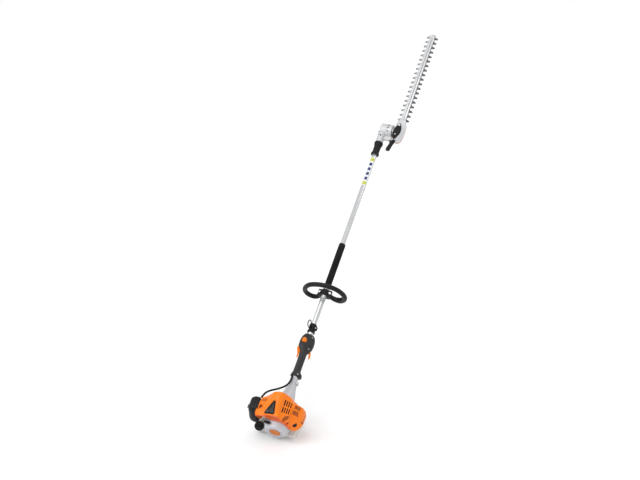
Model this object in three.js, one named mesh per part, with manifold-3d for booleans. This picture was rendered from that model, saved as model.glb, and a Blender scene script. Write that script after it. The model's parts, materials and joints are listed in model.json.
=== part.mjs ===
// A long-reach petrol hedge trimmer, in millimetres, +Z up.
//
// Most pieces are drawn in the tool's own frame and then tilted as one group. In that frame X runs
// along the shaft from the starter towards the blades, Y points to the operator's left, Z points
// to the tool's top, and the shaft's centre line is Y = Z = 0. The origin of the whole part is the
// middle of the flat foot under the fuel tank, which lies on the ground as the tool stands.

import * as THREE from 'three';
import { mergeVertices } from 'three/addons/utils/BufferGeometryUtils.js';
import Module from 'manifold-3d';

const wasm = await Module();
wasm.setup();

// Driving dimensions
const gap = 0.3; // left between pieces that touch
const tiltDegrees = 27; // the shaft's rise as the tool stands on its tank
const footRear = [30, -85]; // the foot's rear edge, as x and z in the tool's frame
const footLength = 89.8;
const tubeRadius = 12.7;
const tubeWall = 1.5;
const tubeStart = 262;
const tubeEnd = 1690;
const driveShaftRadius = 4;
const crankRadius = 8;
const starterRadius = 60;
const housingRadius = 63.5;
const hoodRear = 25;
const hoodFront = 150;
const hoodWall = 3;
const coneEnd = 285.7;
const coneScrew = [261, -22];
const cylinderX = 99.5;
const boreRadius = 16.5;
const handleStart = 293.5;
const handleEnd = 521;
const buttonX = 480;
const buttonTurnDegrees = 43; // from the handle's own top
const handleRollDegrees = 62; // the control handle is clamped rolled to the operator's left
const ringX = 562;
const ringReach = 20.5; // from the shaft's centre line to the hole that holds the carrying ring
const ringRadius = 17.5;
const ringAngleDegrees = 78;
const loopX = 758;
const loopTubeRadius = 11.5;
const foamStart = 784;
const foamEnd = 1041;
const foamRadius = 16.2;
const sleeveStart = 1589;
const sleeveEnd = 1666;
const swivelX = 1745;
const bladeY = -80;
const bladeTop = -5.9; // top face of the upper blade
const bladeThickness = 2.2;
const toothPitch = 30.5;
const toothCount = 19; // on each side
const firstToothX = 1824;
const bodyHalfWidth = 13;
const toothTipHalfWidth = 30;
const screwPitch = 87;
const screwCount = 7;
const firstScrewX = 1850;
const stroke = 8; // each blade moves this far both ways

const radians = THREE.MathUtils.degToRad;
const boreClearance = tubeRadius + gap;

// Solids and booleans

function toSolid(geometry) {
  const bare = geometry.clone();
  bare.deleteAttribute('normal');
  bare.deleteAttribute('uv');
  const merged = mergeVertices(bare, 1e-4);
  const vertProperties = new Float32Array(merged.attributes.position.array);
  const triVerts = new Uint32Array(merged.index.array);
  return new wasm.Manifold(new wasm.Mesh({ numProp: 3, vertProperties, triVerts }));
}

function toGeometry(manifold) {
  const mesh = manifold.getMesh();
  const geometry = new THREE.BufferGeometry();
  geometry.setAttribute('position', new THREE.BufferAttribute(mesh.vertProperties, 3));
  geometry.setIndex(new THREE.BufferAttribute(mesh.triVerts, 1));
  geometry.computeVertexNormals();
  return geometry;
}

function join(first, ...others) {
  return toGeometry(others.reduce((sum, other) => sum.add(toSolid(other)), toSolid(first)));
}

function cut(first, ...tools) {
  return toGeometry(tools.reduce((rest, tool) => rest.subtract(toSolid(tool)), toSolid(first)));
}

function keep(first, second) {
  return toGeometry(toSolid(first).intersect(toSolid(second)));
}

// Basic shapes

function block(x0, x1, y0, y1, z0, z1) {
  const box = new THREE.BoxGeometry(x1 - x0, y1 - y0, z1 - z0);
  return box.translate((x0 + x1) / 2, (y0 + y1) / 2, (z0 + z1) / 2);
}

// A straight round rod between two points; the second radius makes it a cone.
function rod(from, to, radius, sides = 12, endRadius = radius) {
  const start = new THREE.Vector3(...from);
  const along = new THREE.Vector3(...to).sub(start);
  const cylinder = new THREE.CylinderGeometry(endRadius, radius, along.length(), sides);
  const turn = new THREE.Quaternion().setFromUnitVectors(
    new THREE.Vector3(0, 1, 0),
    along.clone().normalize(),
  );
  return cylinder.applyQuaternion(turn).translate(...start.addScaledVector(along, 0.5));
}

// A turned piece about the X axis, from a profile of [x, radius] points.
function turned(profile, sides = 18) {
  const points = profile.map(([x, radius]) => new THREE.Vector2(radius, x));
  return new THREE.LatheGeometry(points, sides).rotateZ(-Math.PI / 2);
}

// A turned piece whose profile closes on itself, clear of the axis.
function turnedRing(profile, sides = 18) {
  return turned([...profile, profile[0]], sides);
}

function shapeOf(outline) {
  return new THREE.Shape(outline.map(([u, v]) => new THREE.Vector2(u, v)));
}

// An outline of [x, y] points carried up from z0 to z1, with holes.
function prismZ(outline, z0, z1, holes = []) {
  const shape = shapeOf(outline);
  shape.holes = holes.map((hole) => new THREE.Path(hole.map(([u, v]) => new THREE.Vector2(u, v))));
  const settings = { depth: z1 - z0, bevelEnabled: false };
  return new THREE.ExtrudeGeometry(shape, settings).translate(0, 0, z0);
}

// An outline of [x, z] points carried across from y0 to y1.
function prismY(outline, y0, y1) {
  const settings = { depth: y1 - y0, bevelEnabled: false };
  const body = new THREE.ExtrudeGeometry(shapeOf(outline), settings);
  return body.rotateX(Math.PI / 2).translate(0, y1, 0);
}

// Closed rings of points, all with the same count, joined into one skin with a fan at each end.
function loft(rings) {
  const count = rings[0].length;
  const middle = (ring) => [0, 1, 2].map((k) => ring.reduce((sum, p) => sum + p[k], 0) / count);
  const positions = rings.flat(2).concat(middle(rings[0]), middle(rings[rings.length - 1]));
  const index = [];
  for (let r = 0; r + 1 < rings.length; r += 1) {
    for (let i = 0; i < count; i += 1) {
      const a = r * count + i;
      const b = r * count + ((i + 1) % count);
      index.push(a, b, a + count, b, b + count, a + count);
    }
  }
  const last = (rings.length - 1) * count;
  const firstCentre = rings.length * count;
  for (let i = 0; i < count; i += 1) {
    const next = (i + 1) % count;
    index.push(firstCentre, next, i);
    index.push(firstCentre + 1, last + i, last + next);
  }
  const geometry = new THREE.BufferGeometry();
  geometry.setAttribute('position', new THREE.Float32BufferAttribute(positions, 3));
  geometry.setIndex(signedVolume(positions, index) < 0 ? index.reverse() : index);
  return geometry;
}

// Negative when the faces point inwards.
function signedVolume(positions, index) {
  const corner = (k) => new THREE.Vector3(...positions.slice(3 * index[k], 3 * index[k] + 3));
  let sum = 0;
  for (let i = 0; i < index.length; i += 3) {
    sum += corner(i).dot(corner(i + 1).cross(corner(i + 2)));
  }
  return sum / 6;
}

// Points of a rounded rectangle whose corners are set by the power: 2 is an ellipse.
function superPoints(halfWidth, halfHeight, power, sides) {
  return Array.from({ length: sides }, (_, i) => {
    const angle = (2 * Math.PI * i) / sides;
    const c = Math.cos(angle);
    const s = Math.sin(angle);
    return [
      halfWidth * Math.sign(c) * Math.abs(c) ** (2 / power),
      halfHeight * Math.sign(s) * Math.abs(s) ** (2 / power),
    ];
  });
}

// A ring across the shaft at x, centred on y and z.
function ringAcross(x, y, z, halfWidth, halfHeight, power = 2.6, sides = 16) {
  return superPoints(halfWidth, halfHeight, power, sides).map(([u, v]) => [x, y + u, z + v]);
}

// A ring in the plane of one y, centred on x and z, for shells that open to the side.
function ringAside(y, x, z, halfLength, halfHeight, power = 3, sides = 16) {
  return superPoints(halfLength, halfHeight, power, sides).map(([u, v]) => [x - u, y, z + v]);
}

function circle(centreX, centreY, radius, sides = 16) {
  return superPoints(radius, radius, 2, sides).map(([u, v]) => [centreX + u, centreY + v]);
}

// A tube or cord along a smooth curve through the given points.
function alongCurve(points, radius, sides, steps) {
  const path = new THREE.CatmullRomCurve3(points.map((p) => new THREE.Vector3(...p)));
  const section = shapeOf(circle(0, 0, radius, sides));
  return new THREE.ExtrudeGeometry(section, { steps, extrudePath: path, bevelEnabled: false });
}

// Materials

const looks = {
  orange: [0xf2770c, 0.35, 0],
  deepOrange: [0xb4560f, 0.5, 0],
  black: [0x1c1c1e, 0.5, 0],
  glossBlack: [0x111113, 0.2, 0],
  darkGrey: [0x464648, 0.55, 0],
  silver: [0xc9cbcd, 0.4, 0.3],
  tank: [0xe3e2dc, 0.45, 0],
  castMetal: [0xa6a8aa, 0.5, 0.6],
  steel: [0x9da0a3, 0.3, 0.9],
  tube: [0xd9dcde, 0.3, 0.8],
  blade: [0xdfe1e2, 0.3, 0.8],
  soot: [0x2a2725, 0.8, 0.3],
  foam: [0x1a1a1b, 0.9, 0],
  rope: [0xd8d4c4, 0.9, 0],
  felt: [0xd9cfae, 0.95, 0],
  bulb: [0xe8e0c8, 0.3, 0],
};

function piece(parent, name, geometry, look) {
  const [color, roughness, metalness] = looks[look];
  const material = new THREE.MeshStandardMaterial({ color, roughness, metalness });
  const mesh = new THREE.Mesh(geometry, material);
  mesh.name = name;
  parent.add(mesh);
  return mesh;
}

// The starter at the rear

function starterHousing() {
  const shell = turned([
    [2, 0], [2, 25], [0, 26], [0, 45], [4, 50], [16, 55], [30, starterRadius],
    [44, starterRadius + 3], [44, starterRadius], [30, 56.5], [16, 52], [7, 46],
    [5, 42], [5, 5], [27, 5], [27, 0],
  ]);
  const ropeHole = rod([15, 31, 30], [15, 31, 60], 3, 10);
  const vents = Array.from({ length: 8 }, (_, i) => {
    const slit = block(-2, 8, 29, 42, -3, 3);
    return slit.rotateX(radians(45 * i + 22.5));
  });
  return cut(shell, ropeHole, ...vents);
}

function starterBadge() {
  return turned([[-2, 0], [-2, 15], [-1, 21], [1.7, 24.2], [1.7, 0]]);
}

function starterPulley() {
  return turnedRing([[9, 5.3], [9, 26], [11, 26], [13, 21], [18, 21], [20, 26], [22, 26], [22, 5.3]]);
}

function starterGrip() {
  const bar = loft([
    [4, -15], [8, -12], [9, 0], [8, 12], [4, 15],
  ].map(([size, y]) => ringAside(31 + y, 15, 60, size * 0.8, size * 0.65, 2.4, 12)));
  return cut(join(bar, rod([15, 31, 51.5], [15, 31, 60], 5, 12)), rod([15, 31, 40], [15, 31, 57], 2.2, 8));
}

function starterRope() {
  return rod([15, 31, -34], [15, 31, 56.6], 1.8, 8);
}

// The engine inside the hood

function crankcase() {
  const body = turnedRing([
    [44.3, 59.5], [44.3, housingRadius], [80, housingRadius], [80, 30], [120, 30],
    [120, 8.6], [113, 8.6], [113, 24], [88, 24], [88, 8.6], [76, 8.6], [76, 59.5],
  ]);
  const deck = block(84, 119, -24, 24, 22, 31.5);
  const bore = rod([cylinderX, 0, 15], [cylinderX, 0, 40], boreRadius, 16);
  return cut(join(body, deck), bore);
}

function crankshaft() {
  const webs = [[89, 96], [105, 112]].map(([from, to]) => rod([from, 0, 0], [to, 0, 0], 20, 24));
  const pin = rod([95, 0, 13], [106, 0, 13], 5, 12);
  const between = block(96, 105, -30, 30, -30, 30);
  const shaft = cut(rod([29, 0, 0], [144, 0, 0], crankRadius, 20), between);
  return join(shaft, ...webs, pin);
}

function flywheelFan() {
  const disc = turnedRing([[50, 8.3], [50, 15], [66, 18], [67, 54], [72, 54], [72, 8.3]]);
  const fin = (i) => block(52, 68, 24, 53, -1.5, 1.5).rotateX((2 * Math.PI * i) / 10);
  return join(disc, ...Array.from({ length: 10 }, (_, i) => fin(i)));
}

function clutchHub() {
  const disc = turnedRing([[127.5, 8.3], [127.5, 25], [141, 25], [141, 8.3]]);
  const slits = [0, 1].map((i) => block(126, 143, -30, -12, -1.5, 1.5).rotateX(Math.PI * i));
  return cut(disc, ...slits);
}

function clutchDrum() {
  return turned([
    [146, 0], [146, 27], [124, 27], [124, 30], [150, 30], [152, 12],
    [172, 11], [172, driveShaftRadius + gap], [154, driveShaftRadius + gap], [154, 0],
  ]);
}

function clutchHousing() {
  const shell = turnedRing([
    [121, 34], [121, 40], [131, 41], [131, 63], [149, 63.5], [154, 48], [168, 39], [180, 34.8],
    [200, 30.5], [223, 25.4], [239, 22.6], [coneEnd - 6, 19.2], [coneEnd, 18.5], [coneEnd, boreClearance],
    [252, boreClearance], [250, 16.5], [223, 21.5], [200, 26.5], [180, 30.8], [168, 35], [152, 44],
    [147, 58], [136, 58], [134, 34],
  ], 24);
  const [x, y] = coneScrew;
  const boss = block(x - 7, x + 7, y - 5.5, y + 9, -7.5, 7.5);
  const screwHole = rod([x, y, -20], [x, y, 20], 2.9, 10);
  const headRoom = rod([x, y, 7.5], [x, y, 30], 6, 12);
  const bore = rod([240, 0, 0], [300, 0, 0], boreClearance, 24);
  return cut(join(shell, boss), bore, screwHole, headRoom);
}

function coneClampScrew() {
  const [x, y] = coneScrew;
  return join(rod([x, y, 7.8], [x, y, 12], 5, 12), rod([x, y, -7], [x, y, 9], 2.6, 10));
}

function cylinder() {
  const x = cylinderX;
  const barrel = rod([x, 0, 31.8], [x, 0, 100], 19.2, 16);
  const flange = block(85, 118, -23, 23, 31.8, 37);
  const outline = superPoints(18.8, 30, 4, 8).map(([u, v]) => [x + u, v]);
  const fins = Array.from({ length: 6 }, (_, i) => prismZ(outline, 46 + 9.4 * i, 48.6 + 9.4 * i));
  const ports = [
    rod([x, 0, 56], [x, -35.4, 56], 11, 12),
    rod([x, 0, 60], [x, 32.6, 60], 11, 12),
  ];
  const bore = rod([x, 0, 25], [x, 0, 93], boreRadius, 16);
  return cut(join(barrel, flange, ...fins, ...ports), bore);
}

function piston() {
  const x = cylinderX;
  const crown = rod([x, 0, 54], [x, 0, 76], boreRadius - gap, 16);
  const hollow = rod([x, 0, 50], [x, 0, 72], boreRadius - 3.5, 16);
  const pin = rod([x, -14, 62], [x, 14, 62], 3.5, 8);
  return join(cut(crown, hollow), pin);
}

function connectingRod() {
  const x = cylinderX;
  const eyes = join(
    rod([x, -4, 62], [x, 4, 62], 7, 16),
    rod([x, -4, 42], [x, 4, 42], 6, 16),
    block(x - 3, x + 3, -3, 3, 42, 62),
  );
  return cut(eyes, rod([x, -6, 62], [x, 6, 62], 3.9, 12), rod([x, -6, 42], [x, 6, 42], 3.4, 12));
}

function muffler() {
  const can = loft([
    ringAside(-36, 100, 44, 16, 20, 3, 14),
    ringAside(-44, 100, 44, 19, 23, 3, 14),
    ringAside(-92, 98, 40, 19, 23, 3, 14),
    ringAside(-98, 98, 40, 14, 18, 3, 14),
  ]);
  const outlet = rod([84, -85, 40], [48, -88, 28], 7, 14);
  return cut(join(can, outlet), rod([80, -85.3, 38.7], [40, -88.6, 25.3], 5, 12));
}

function carburettor() {
  const body = join(
    block(86, 118, 33, 38, 44, 76),
    rod([102, 34, 60], [102, 83.5, 60], 12, 20),
    block(90, 114, 48, 72, 46, 80),
    rod([90, 60, 70], [82, 60, 70], 6, 12),
  );
  return cut(body, rod([102, 30, 60], [102, 90, 60], 8, 16));
}

function fuelLine() {
  const route = [[112, 62, -69], [114, 64, -40], [112, 64, -5], [106, 62, 25], [104, 61, 45.6]];
  return alongCurve(route, 3, 6, 10);
}

// The hood and the two side covers

const hoodStations = [
  [hoodRear, 0.8, 106], [hoodRear + 4, 0.93, 113], [40, 1, 117], [70, 1, 121], [105, 1, 126],
  [128, 1, 130], [140, 0.95, 129], [hoodFront, 0.8, 116],
];

function hoodForm(inset, rearTrim, drop) {
  const stations = hoodStations.map(([x, spread, top], i) => {
    const last = i === hoodStations.length - 1;
    const place = i === 0 ? x + rearTrim : last ? x - rearTrim : x;
    const halfHeight = (top - inset + 28 + drop) / 2;
    const halfWidth = 74 * spread - inset;
    return ringAcross(place, 6, top - inset - halfHeight, halfWidth, halfHeight, 3.2, 24);
  });
  return loft(stations);
}

const plugWindow = [[97, 9], [93, 15], [38, 42], [32, 39], [31, -2], [37, -7], [93, 4]];

function shrunk(outline, by) {
  const cx = outline.reduce((sum, p) => sum + p[0], 0) / outline.length;
  const cy = outline.reduce((sum, p) => sum + p[1], 0) / outline.length;
  return outline.map(([x, y]) => {
    const reach = Math.hypot(x - cx, y - cy);
    const scale = (reach - by) / reach;
    return [cx + (x - cx) * scale, cy + (y - cy) * scale];
  });
}

function hoodSlots() {
  const slots = [];
  for (const centre of [106, 70]) {
    for (let i = 0; i < 4; i += 1) {
      const y = -34 - 8.5 * i;
      slots.push(block(centre - 14, centre + 14, y - 2.4, y + 2.4, 60, 140));
    }
  }
  return slots;
}

function engineHood() {
  const shell = cut(hoodForm(0, 0, 0), hoodForm(hoodWall, hoodWall, 30));
  return cut(
    shell,
    rod([20, 0, 0], [60, 0, 0], housingRadius + 1.2, 24),
    rod([120, 0, 0], [160, 0, 0], housingRadius + 1.7, 24),
    prismZ(plugWindow, 80, 140),
    block(60, 127, -90, -40, -30, 73),
    block(82, 122, 60, 90, 40, 84),
    ...hoodSlots(),
  );
}

function sparkPlugBoot() {
  const plug = prismZ(shrunk(plugWindow, 1), 101, 140);
  return keep(plug, hoodForm(1.2, 0, 0));
}

const guardTop = 80;

function mufflerGuard() {
  const outer = loft([
    ringAside(-69, 79, 33, 50, 50, 3.6, 20),
    ringAside(-98, 80, 31, 48, 45, 3.4, 20),
    ringAside(-112, 82, 31, 42, 33, 3, 20),
    ringAside(-118, 84, 32, 30, 20, 2.6, 20),
  ]);
  const inner = loft([
    ringAside(-60, 79, 33, 47, 47, 3.6, 20),
    ringAside(-97, 80, 31, 45, 42, 3.4, 20),
    ringAside(-109, 82, 31, 39, 30, 3, 20),
    ringAside(-114, 84, 32, 26, 16, 2.6, 20),
  ]);
  const grille = [0, 1, 2, 3].map((i) => block(58 + 13 * i, 64 + 13 * i, -120, -98, 12, 50));
  const outlet = rod([20, -88, 26], [50, -88, 28], 10, 16);
  const topSlot = block(60, 112, -96, -76, guardTop - 6, guardTop + 10);
  return cut(outer, inner, outlet, topSlot, ...grille);
}

function airFilterBase() {
  const plate = loft([
    ringAside(84.3, 80, 47, 38, 50, 3.2, 24),
    ringAside(92.4, 80, 47, 38, 50, 3.2, 24),
  ]);
  const boss = rod([85, 84.3, -14], [85, 97, -14], 13, 20);
  const post = rod([80, 90, 47], [80, 124, 47], 4, 12);
  const throat = rod([102, 80, 60], [102, 100, 60], 8, 16);
  const pocket = rod([85, 86, -14], [85, 100, -14], 10.6, 20);
  const chokeTongue = block(29, 50, 81.4, 84.4, 56, 68);
  const chokePin = rod([34, 82, 62], [34, 93, 62], 3, 12);
  return cut(join(plate, boss, post, chokeTongue, chokePin), throat, pocket);
}

function airFilterElement() {
  const pad = loft([
    ringAside(93, 80, 50, 31, 41, 3, 20),
    ringAside(110, 80, 50, 31, 41, 3, 20),
  ]);
  return cut(pad, rod([80, 90, 47], [80, 112, 47], 5, 12));
}

function airFilterCover() {
  const outer = loft([
    ringAside(92.8, 80, 50, 41, 50, 3, 20),
    ringAside(116, 80, 50, 40, 49, 2.9, 20),
    ringAside(130, 80, 50, 34, 43, 2.7, 20),
    ringAside(138, 80, 50, 22, 30, 2.4, 20),
  ]);
  const inner = loft([
    ringAside(90, 80, 50, 38.2, 47, 3, 20),
    ringAside(115, 80, 50, 37, 46, 2.9, 20),
    ringAside(127, 80, 50, 31, 40, 2.7, 20),
    ringAside(134, 80, 50, 20, 27, 2.4, 20),
  ]);
  const baseRoom = block(70, 100, 90, 99, -30, 3.5);
  return cut(outer, inner, baseRoom, rod([80, 120, 47], [80, 150, 47], 6, 12));
}

function filterKnob() {
  const stem = rod([80, 124.3, 47], [80, 139, 47], 5.5, 12);
  const head = rod([80, 138.4, 47], [80, 144, 47], 11, 20);
  const wing = block(72, 88, 140, 149, 45, 49);
  return join(stem, head, wing);
}

function chokeLever() {
  const hub = rod([34, 84.8, 62], [34, 91.5, 62], 7, 16);
  const arm = prismY([[30, 64], [8, 55], [8, 49], [14, 48], [36, 58]], 85.5, 90.5);
  return cut(join(hub, arm), rod([34, 80, 62], [34, 96, 62], 3.3, 12));
}

function primerBulb() {
  const dome = turned([[91.5, 0], [91.5, 10], [95, 10], [98, 8.5], [104, 7], [107.5, 4], [108.5, 0]], 20);
  return dome.rotateZ(Math.PI / 2).translate(85, 0, -14);
}

// The fuel tank, its cap and the foot it stands on

const fillDirection = [-Math.SQRT1_2, 0, Math.SQRT1_2];
const neckMouth = [34, 95, -39];

function fromMouth(distance) {
  return neckMouth.map((value, k) => value + fillDirection[k] * distance);
}

function tankForm(inset) {
  const foot = footLength;
  const rise = Math.sin(radians(tiltDegrees)) * foot;
  const run = Math.cos(radians(tiltDegrees)) * foot;
  const [x, z] = footRear;
  const outline = [
    [x, z], [x + run, z - rise], [x + run + 36, z - rise + 8], [x + run + 40, z - rise + 30],
    [x + run + 36, -70], [x + 4, -69.5], [x, -74],
  ];
  const stations = [[-75, 14], [-71, 4], [-62, 0], [102, 0], [111, 4], [115, 14]];
  return loft(stations.map(([y, pull]) => {
    const middle = 25;
    const side = y > middle ? y - inset : y + inset;
    const ring = shrunk(outline, pull + inset * 1.25);
    return ring.map(([u, v]) => [u, side, v]).reverse();
  }));
}

function fuelTank() {
  const shoulder = prismY([[33, -76], [33, -64], [57, -37], [92, -40], [98, -76]], 76, 113);
  const hollow = prismY([[37, -84], [37, -66], [58.5, -41], [89, -43.5], [94, -84]], 79, 110);
  const neck = rod(fromMouth(-26), neckMouth, 17, 20);
  const bore = rod(fromMouth(-30), fromMouth(3), 13.5, 20);
  const sump = tankForm(3);
  return cut(join(tankForm(0), shoulder, neck), sump, hollow, bore);
}

function fuelCap() {
  const cup = turned([
    [-9.5, 17.5], [-9.5, 21], [-7, 21.8], [5, 21.8], [8, 19], [8.6, 12], [8.6, 0],
    [3.5, 0], [3.5, 17.5], [-9.5, 17.5],
  ], 28);
  const bar = block(7, 13, -15, 15, -3, 3);
  const turn = new THREE.Quaternion().setFromUnitVectors(
    new THREE.Vector3(1, 0, 0),
    new THREE.Vector3(...fillDirection),
  );
  return join(cup, bar).applyQuaternion(turn).translate(...neckMouth);
}

// The shaft

function cableSleeve() {
  const route = [
    [291.8, 7, 23], [272, 3, 27], [249, 3, 34], [222, 9, 46], [198, 22, 61],
    [177, 38, 77], [161, 57, 86], [149, 76, 82], [138, 90, 69], [127, 97, 62],
  ];
  return alongCurve(route, 4.6, 8, 26);
}

function shaftTube() {
  const inner = tubeRadius - tubeWall;
  return turnedRing([[tubeStart, inner], [tubeStart, tubeRadius], [tubeEnd, tubeRadius], [tubeEnd, inner]]);
}

function driveShaft() {
  return rod([154.5, 0, 0], [1712, 0, 0], driveShaftRadius, 16);
}

function driveBush(x) {
  const outer = tubeRadius - tubeWall - gap;
  const inner = driveShaftRadius + gap;
  return turnedRing([[x, inner], [x, outer], [x + 40, outer], [x + 40, inner]], 20);
}

// The control handle, drawn upright about the shaft

function handleForm() {
  const stations = [
    [handleStart, 20, 25], [handleStart + 4, 21, 26.5], [314, 20, 25], [324, 17, 18],
    [424, 16.6, 17.4], [435, 19, 26], [451, 21, 33.5], [478, 21.5, 36], [502, 20, 33], [handleEnd, 16.5, 22],
  ];
  return loft(stations.map(([x, wide, tall]) => ringAcross(x, 0, 0, wide, tall, 2.3, 20)));
}

function handleShell(side) {
  const half = side > 0 ? block(280, 540, 0.15, 60, -60, 60) : block(280, 540, -60, -0.15, -60, 60);
  const buttonWell = stopButtonForm(14.5, 60, 1);
  return cut(
    keep(handleForm(), half),
    rod([270, 0, 0], [550, 0, 0], boreClearance, 24),
    block(399, 450, -5.4, 5.4, -50, -13.6),
    block(386, 450, -5.4, 5.4, 13.6, 60),
    buttonWell,
  );
}

function throttleTrigger() {
  return prismY([
    [446, -19], [446, -26], [434, -33], [414, -36], [404, -33], [404, -28], [414, -26],
    [430, -25], [437, -19],
  ], -4.8, 4.8);
}

function lockoutLever() {
  return prismY([
    [390, 21], [390, 25], [415, 28], [433, 36], [445, 38], [445, 19], [437, 17], [421, 19],
  ], -4.8, 4.8);
}

function stopButtonForm(from, to, grow) {
  const outline = superPoints(11.5 + grow, 9 + grow, 3.4, 20).map(([u, v]) => [buttonX + u, v]);
  const body = prismZ(outline, from, to);
  return body.rotateX(radians(buttonTurnDegrees));
}

// The carrying ring

function ringClamp() {
  const collar = turnedRing([
    [536, boreClearance], [536, 18.5], [545, 18.5], [548, 16.5], [569, 16.5], [572, 17.5],
    [579, 17.5], [579, boreClearance],
  ], 24);
  const tongue = block(ringX - 3, ringX + 3, -7, 7, 14, ringReach + 7.5);
  const ear = block(549, 569, -25, -12, -5, 5);
  const hole = rod([ringX - 9, 0, ringReach], [ringX + 9, 0, ringReach], 4, 14);
  const bore = rod([520, 0, 0], [600, 0, 0], boreClearance, 24);
  return cut(join(collar, tongue, ear), hole, bore);
}

function carryingRing() {
  const wire = new THREE.TorusGeometry(ringRadius, 2.4, 6, 24);
  return wire.rotateX(Math.PI / 2).translate(ringX, 0, ringReach + ringRadius);
}

// The loop handle and its clamp

function loopPath() {
  const half = [
    [0, 20, -18, 0], [-5, 40, -29, 3], [-11, 66, -28, 7], [-14, 90, -8, 7], [-14, 99, 18, 7],
    [-14, 92, 48, 7], [-14, 68, 77, 7], [-14, 35, 92, 7],
  ];
  const mirrored = half.map(([x, y, z, lean]) => [x, -y, z, lean]).reverse();
  const points = [...half, [-14, 0, 97, 7], ...mirrored];
  return points.map(([x, y, z, lean]) => [loopX + x, y - lean, z]);
}

function loopHandle() {
  const bow = alongCurve(loopPath(), loopTubeRadius, 10, 32);
  const web = block(loopX - 11, loopX + 11, -62, -14, -27, -17);
  const saddle = block(loopX - 16, loopX + 16, -33, 33, -27, -gap);
  const holes = [-25, 25].map((y) => rod([loopX, y, -40], [loopX, y, 10], 3, 10));
  const bore = rod([loopX - 40, 0, 0], [loopX + 40, 0, 0], boreClearance, 24);
  return cut(join(bow, saddle, web), bore, ...holes);
}

function loopClampCap() {
  const arch = rod([loopX - 15, 0, 0], [loopX + 15, 0, 0], 19, 24);
  const wings = block(loopX - 15, loopX + 15, -33, 33, gap, 9);
  const above = block(loopX - 30, loopX + 30, -40, 40, gap, 40);
  const holes = [-25, 25].map((y) => rod([loopX, y, -10], [loopX, y, 20], 3, 10));
  const bore = rod([loopX - 40, 0, 0], [loopX + 40, 0, 0], boreClearance, 24);
  return cut(keep(join(arch, wings), above), bore, ...holes);
}

function loopClampScrew(y) {
  return join(rod([loopX, y, 9.3], [loopX, y, 14], 5.2, 14), rod([loopX, y, -22], [loopX, y, 10], 2.7, 10));
}

function foamGrip() {
  return turnedRing([
    [foamStart, boreClearance], [foamStart, foamRadius - 0.8], [foamStart + 3, foamRadius],
    [foamEnd - 3, foamRadius], [foamEnd, foamRadius - 0.8], [foamEnd, boreClearance],
  ], 24);
}

// The angle gearbox on the end of the shaft

function gearboxSleeve() {
  return turnedRing([
    [sleeveStart, boreClearance], [sleeveStart, 17], [sleeveStart + 6, 19], [sleeveStart + 50, 17.5],
    [sleeveEnd - 14, 20], [sleeveEnd, 21], [sleeveEnd, boreClearance],
  ], 24);
}

function angleGearboxHousing() {
  const collar = rod([sleeveEnd + gap, 0, 0], [1722, 0, 0], 18.5, 24, 22);
  const drum = rod([swivelX, 11, 0], [swivelX, -49.7, 0], 36, 28);
  const latchArm = block(1689, 1704, -55.2, -14, -9, 9);
  const chamber = rod([swivelX, 6, 0], [swivelX, -44, 0], 31.5, 24);
  const mouth = rod([swivelX, -40, 0], [swivelX, -60, 0], 20, 24);
  const socket = rod([1660, 0, 0], [1698, 0, 0], boreClearance, 24);
  const shaftWay = rod([1690, 0, 0], [swivelX, 0, 0], 13.5, 20);
  const latchWay = block(1680, 1720, -55.5, -49.5, -4.4, 4.4);
  return cut(join(collar, drum, latchArm), chamber, mouth, socket, shaftWay, latchWay);
}

function bevelPinion() {
  const cone = turnedRing([
    [1706, driveShaftRadius + gap], [1706, 8], [1717, 11.2], [1719, 11], [1729, 6.3], [1729, driveShaftRadius + gap],
  ], 20);
  return cut(cone, ...toothGrooves(8, (groove) => groove.translate(1722, 0, 0), 11, 1));
}

// Shallow grooves round a cone that leave teeth between them, as tools to cut with.
function toothGrooves(count, place, radius, depth) {
  return Array.from({ length: count }, (_, i) => {
    const groove = new THREE.BoxGeometry(12, 1.6, depth * 2).translate(0, 0, radius);
    return place(groove.rotateX((2 * Math.PI * i) / count));
  });
}

function bevelGear() {
  const profile = [
    [7.4, 0], [7.4, 13], [12.6, 23.6], [14.5, 24], [19, 20], [24, 10], [24, 5], [55.6, 5],
    [56, 5.8], [62, 5.8], [62, 0],
  ];
  const spun = turned(profile, 20).rotateZ(-Math.PI / 2);
  return spun.translate(swivelX, 0, 0);
}

// The swivelling blade gearbox

function swivelDisc() {
  const disc = rod([swivelX, -50.1, 0], [swivelX, -55.7, 0], 24.5, 32);
  const notches = Array.from({ length: 7 }, (_, i) => {
    const notch = block(-28, -22, -60, -45, -2, 2).rotateY(radians(22 * i - 55));
    return notch.translate(swivelX, 0, 0);
  });
  return cut(disc, rod([swivelX, -40, 0], [swivelX, -60, 0], 6.4, 20), ...notches);
}

function headOutline(inset, sides = 36) {
  return superPoints(68 - inset, 26 - inset, 2.7, sides).map(([u, v]) => [1756 + u, -82 + v]);
}

const headFloor = -2.2;

function bladeGearboxHousing() {
  const crown = loft([
    headOutline(0).map(([x, y]) => [x, y, -11]),
    headOutline(0).map(([x, y]) => [x, y, 14]),
    headOutline(3).map(([x, y]) => [x, y, 22]),
    headOutline(9).map(([x, y]) => [x, y, 25]),
  ]);
  const chamber = prismZ(headOutline(4, 28), -20, 19);
  const bladeWay = block(1790, 1850, -98, -62, -20, headFloor);
  const shaftWay = rod([swivelX, -50, 0], [swivelX, -70, 0], 7.5, 16);
  const flange = rod([swivelX, -56, 0], [swivelX, -61, 0], 24, 28);
  const flangeBelow = block(1700, 1800, -70, -50, -40, -11);
  return cut(join(crown, cut(flange, flangeBelow)), chamber, bladeWay, shaftWay);
}

function bladeGearboxCover() {
  return loft([
    headOutline(4).map(([x, y]) => [x, y, -19]),
    headOutline(0.5).map(([x, y]) => [x, y, -16]),
    headOutline(0).map(([x, y]) => [x, y, -11.3]),
  ]);
}

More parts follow.
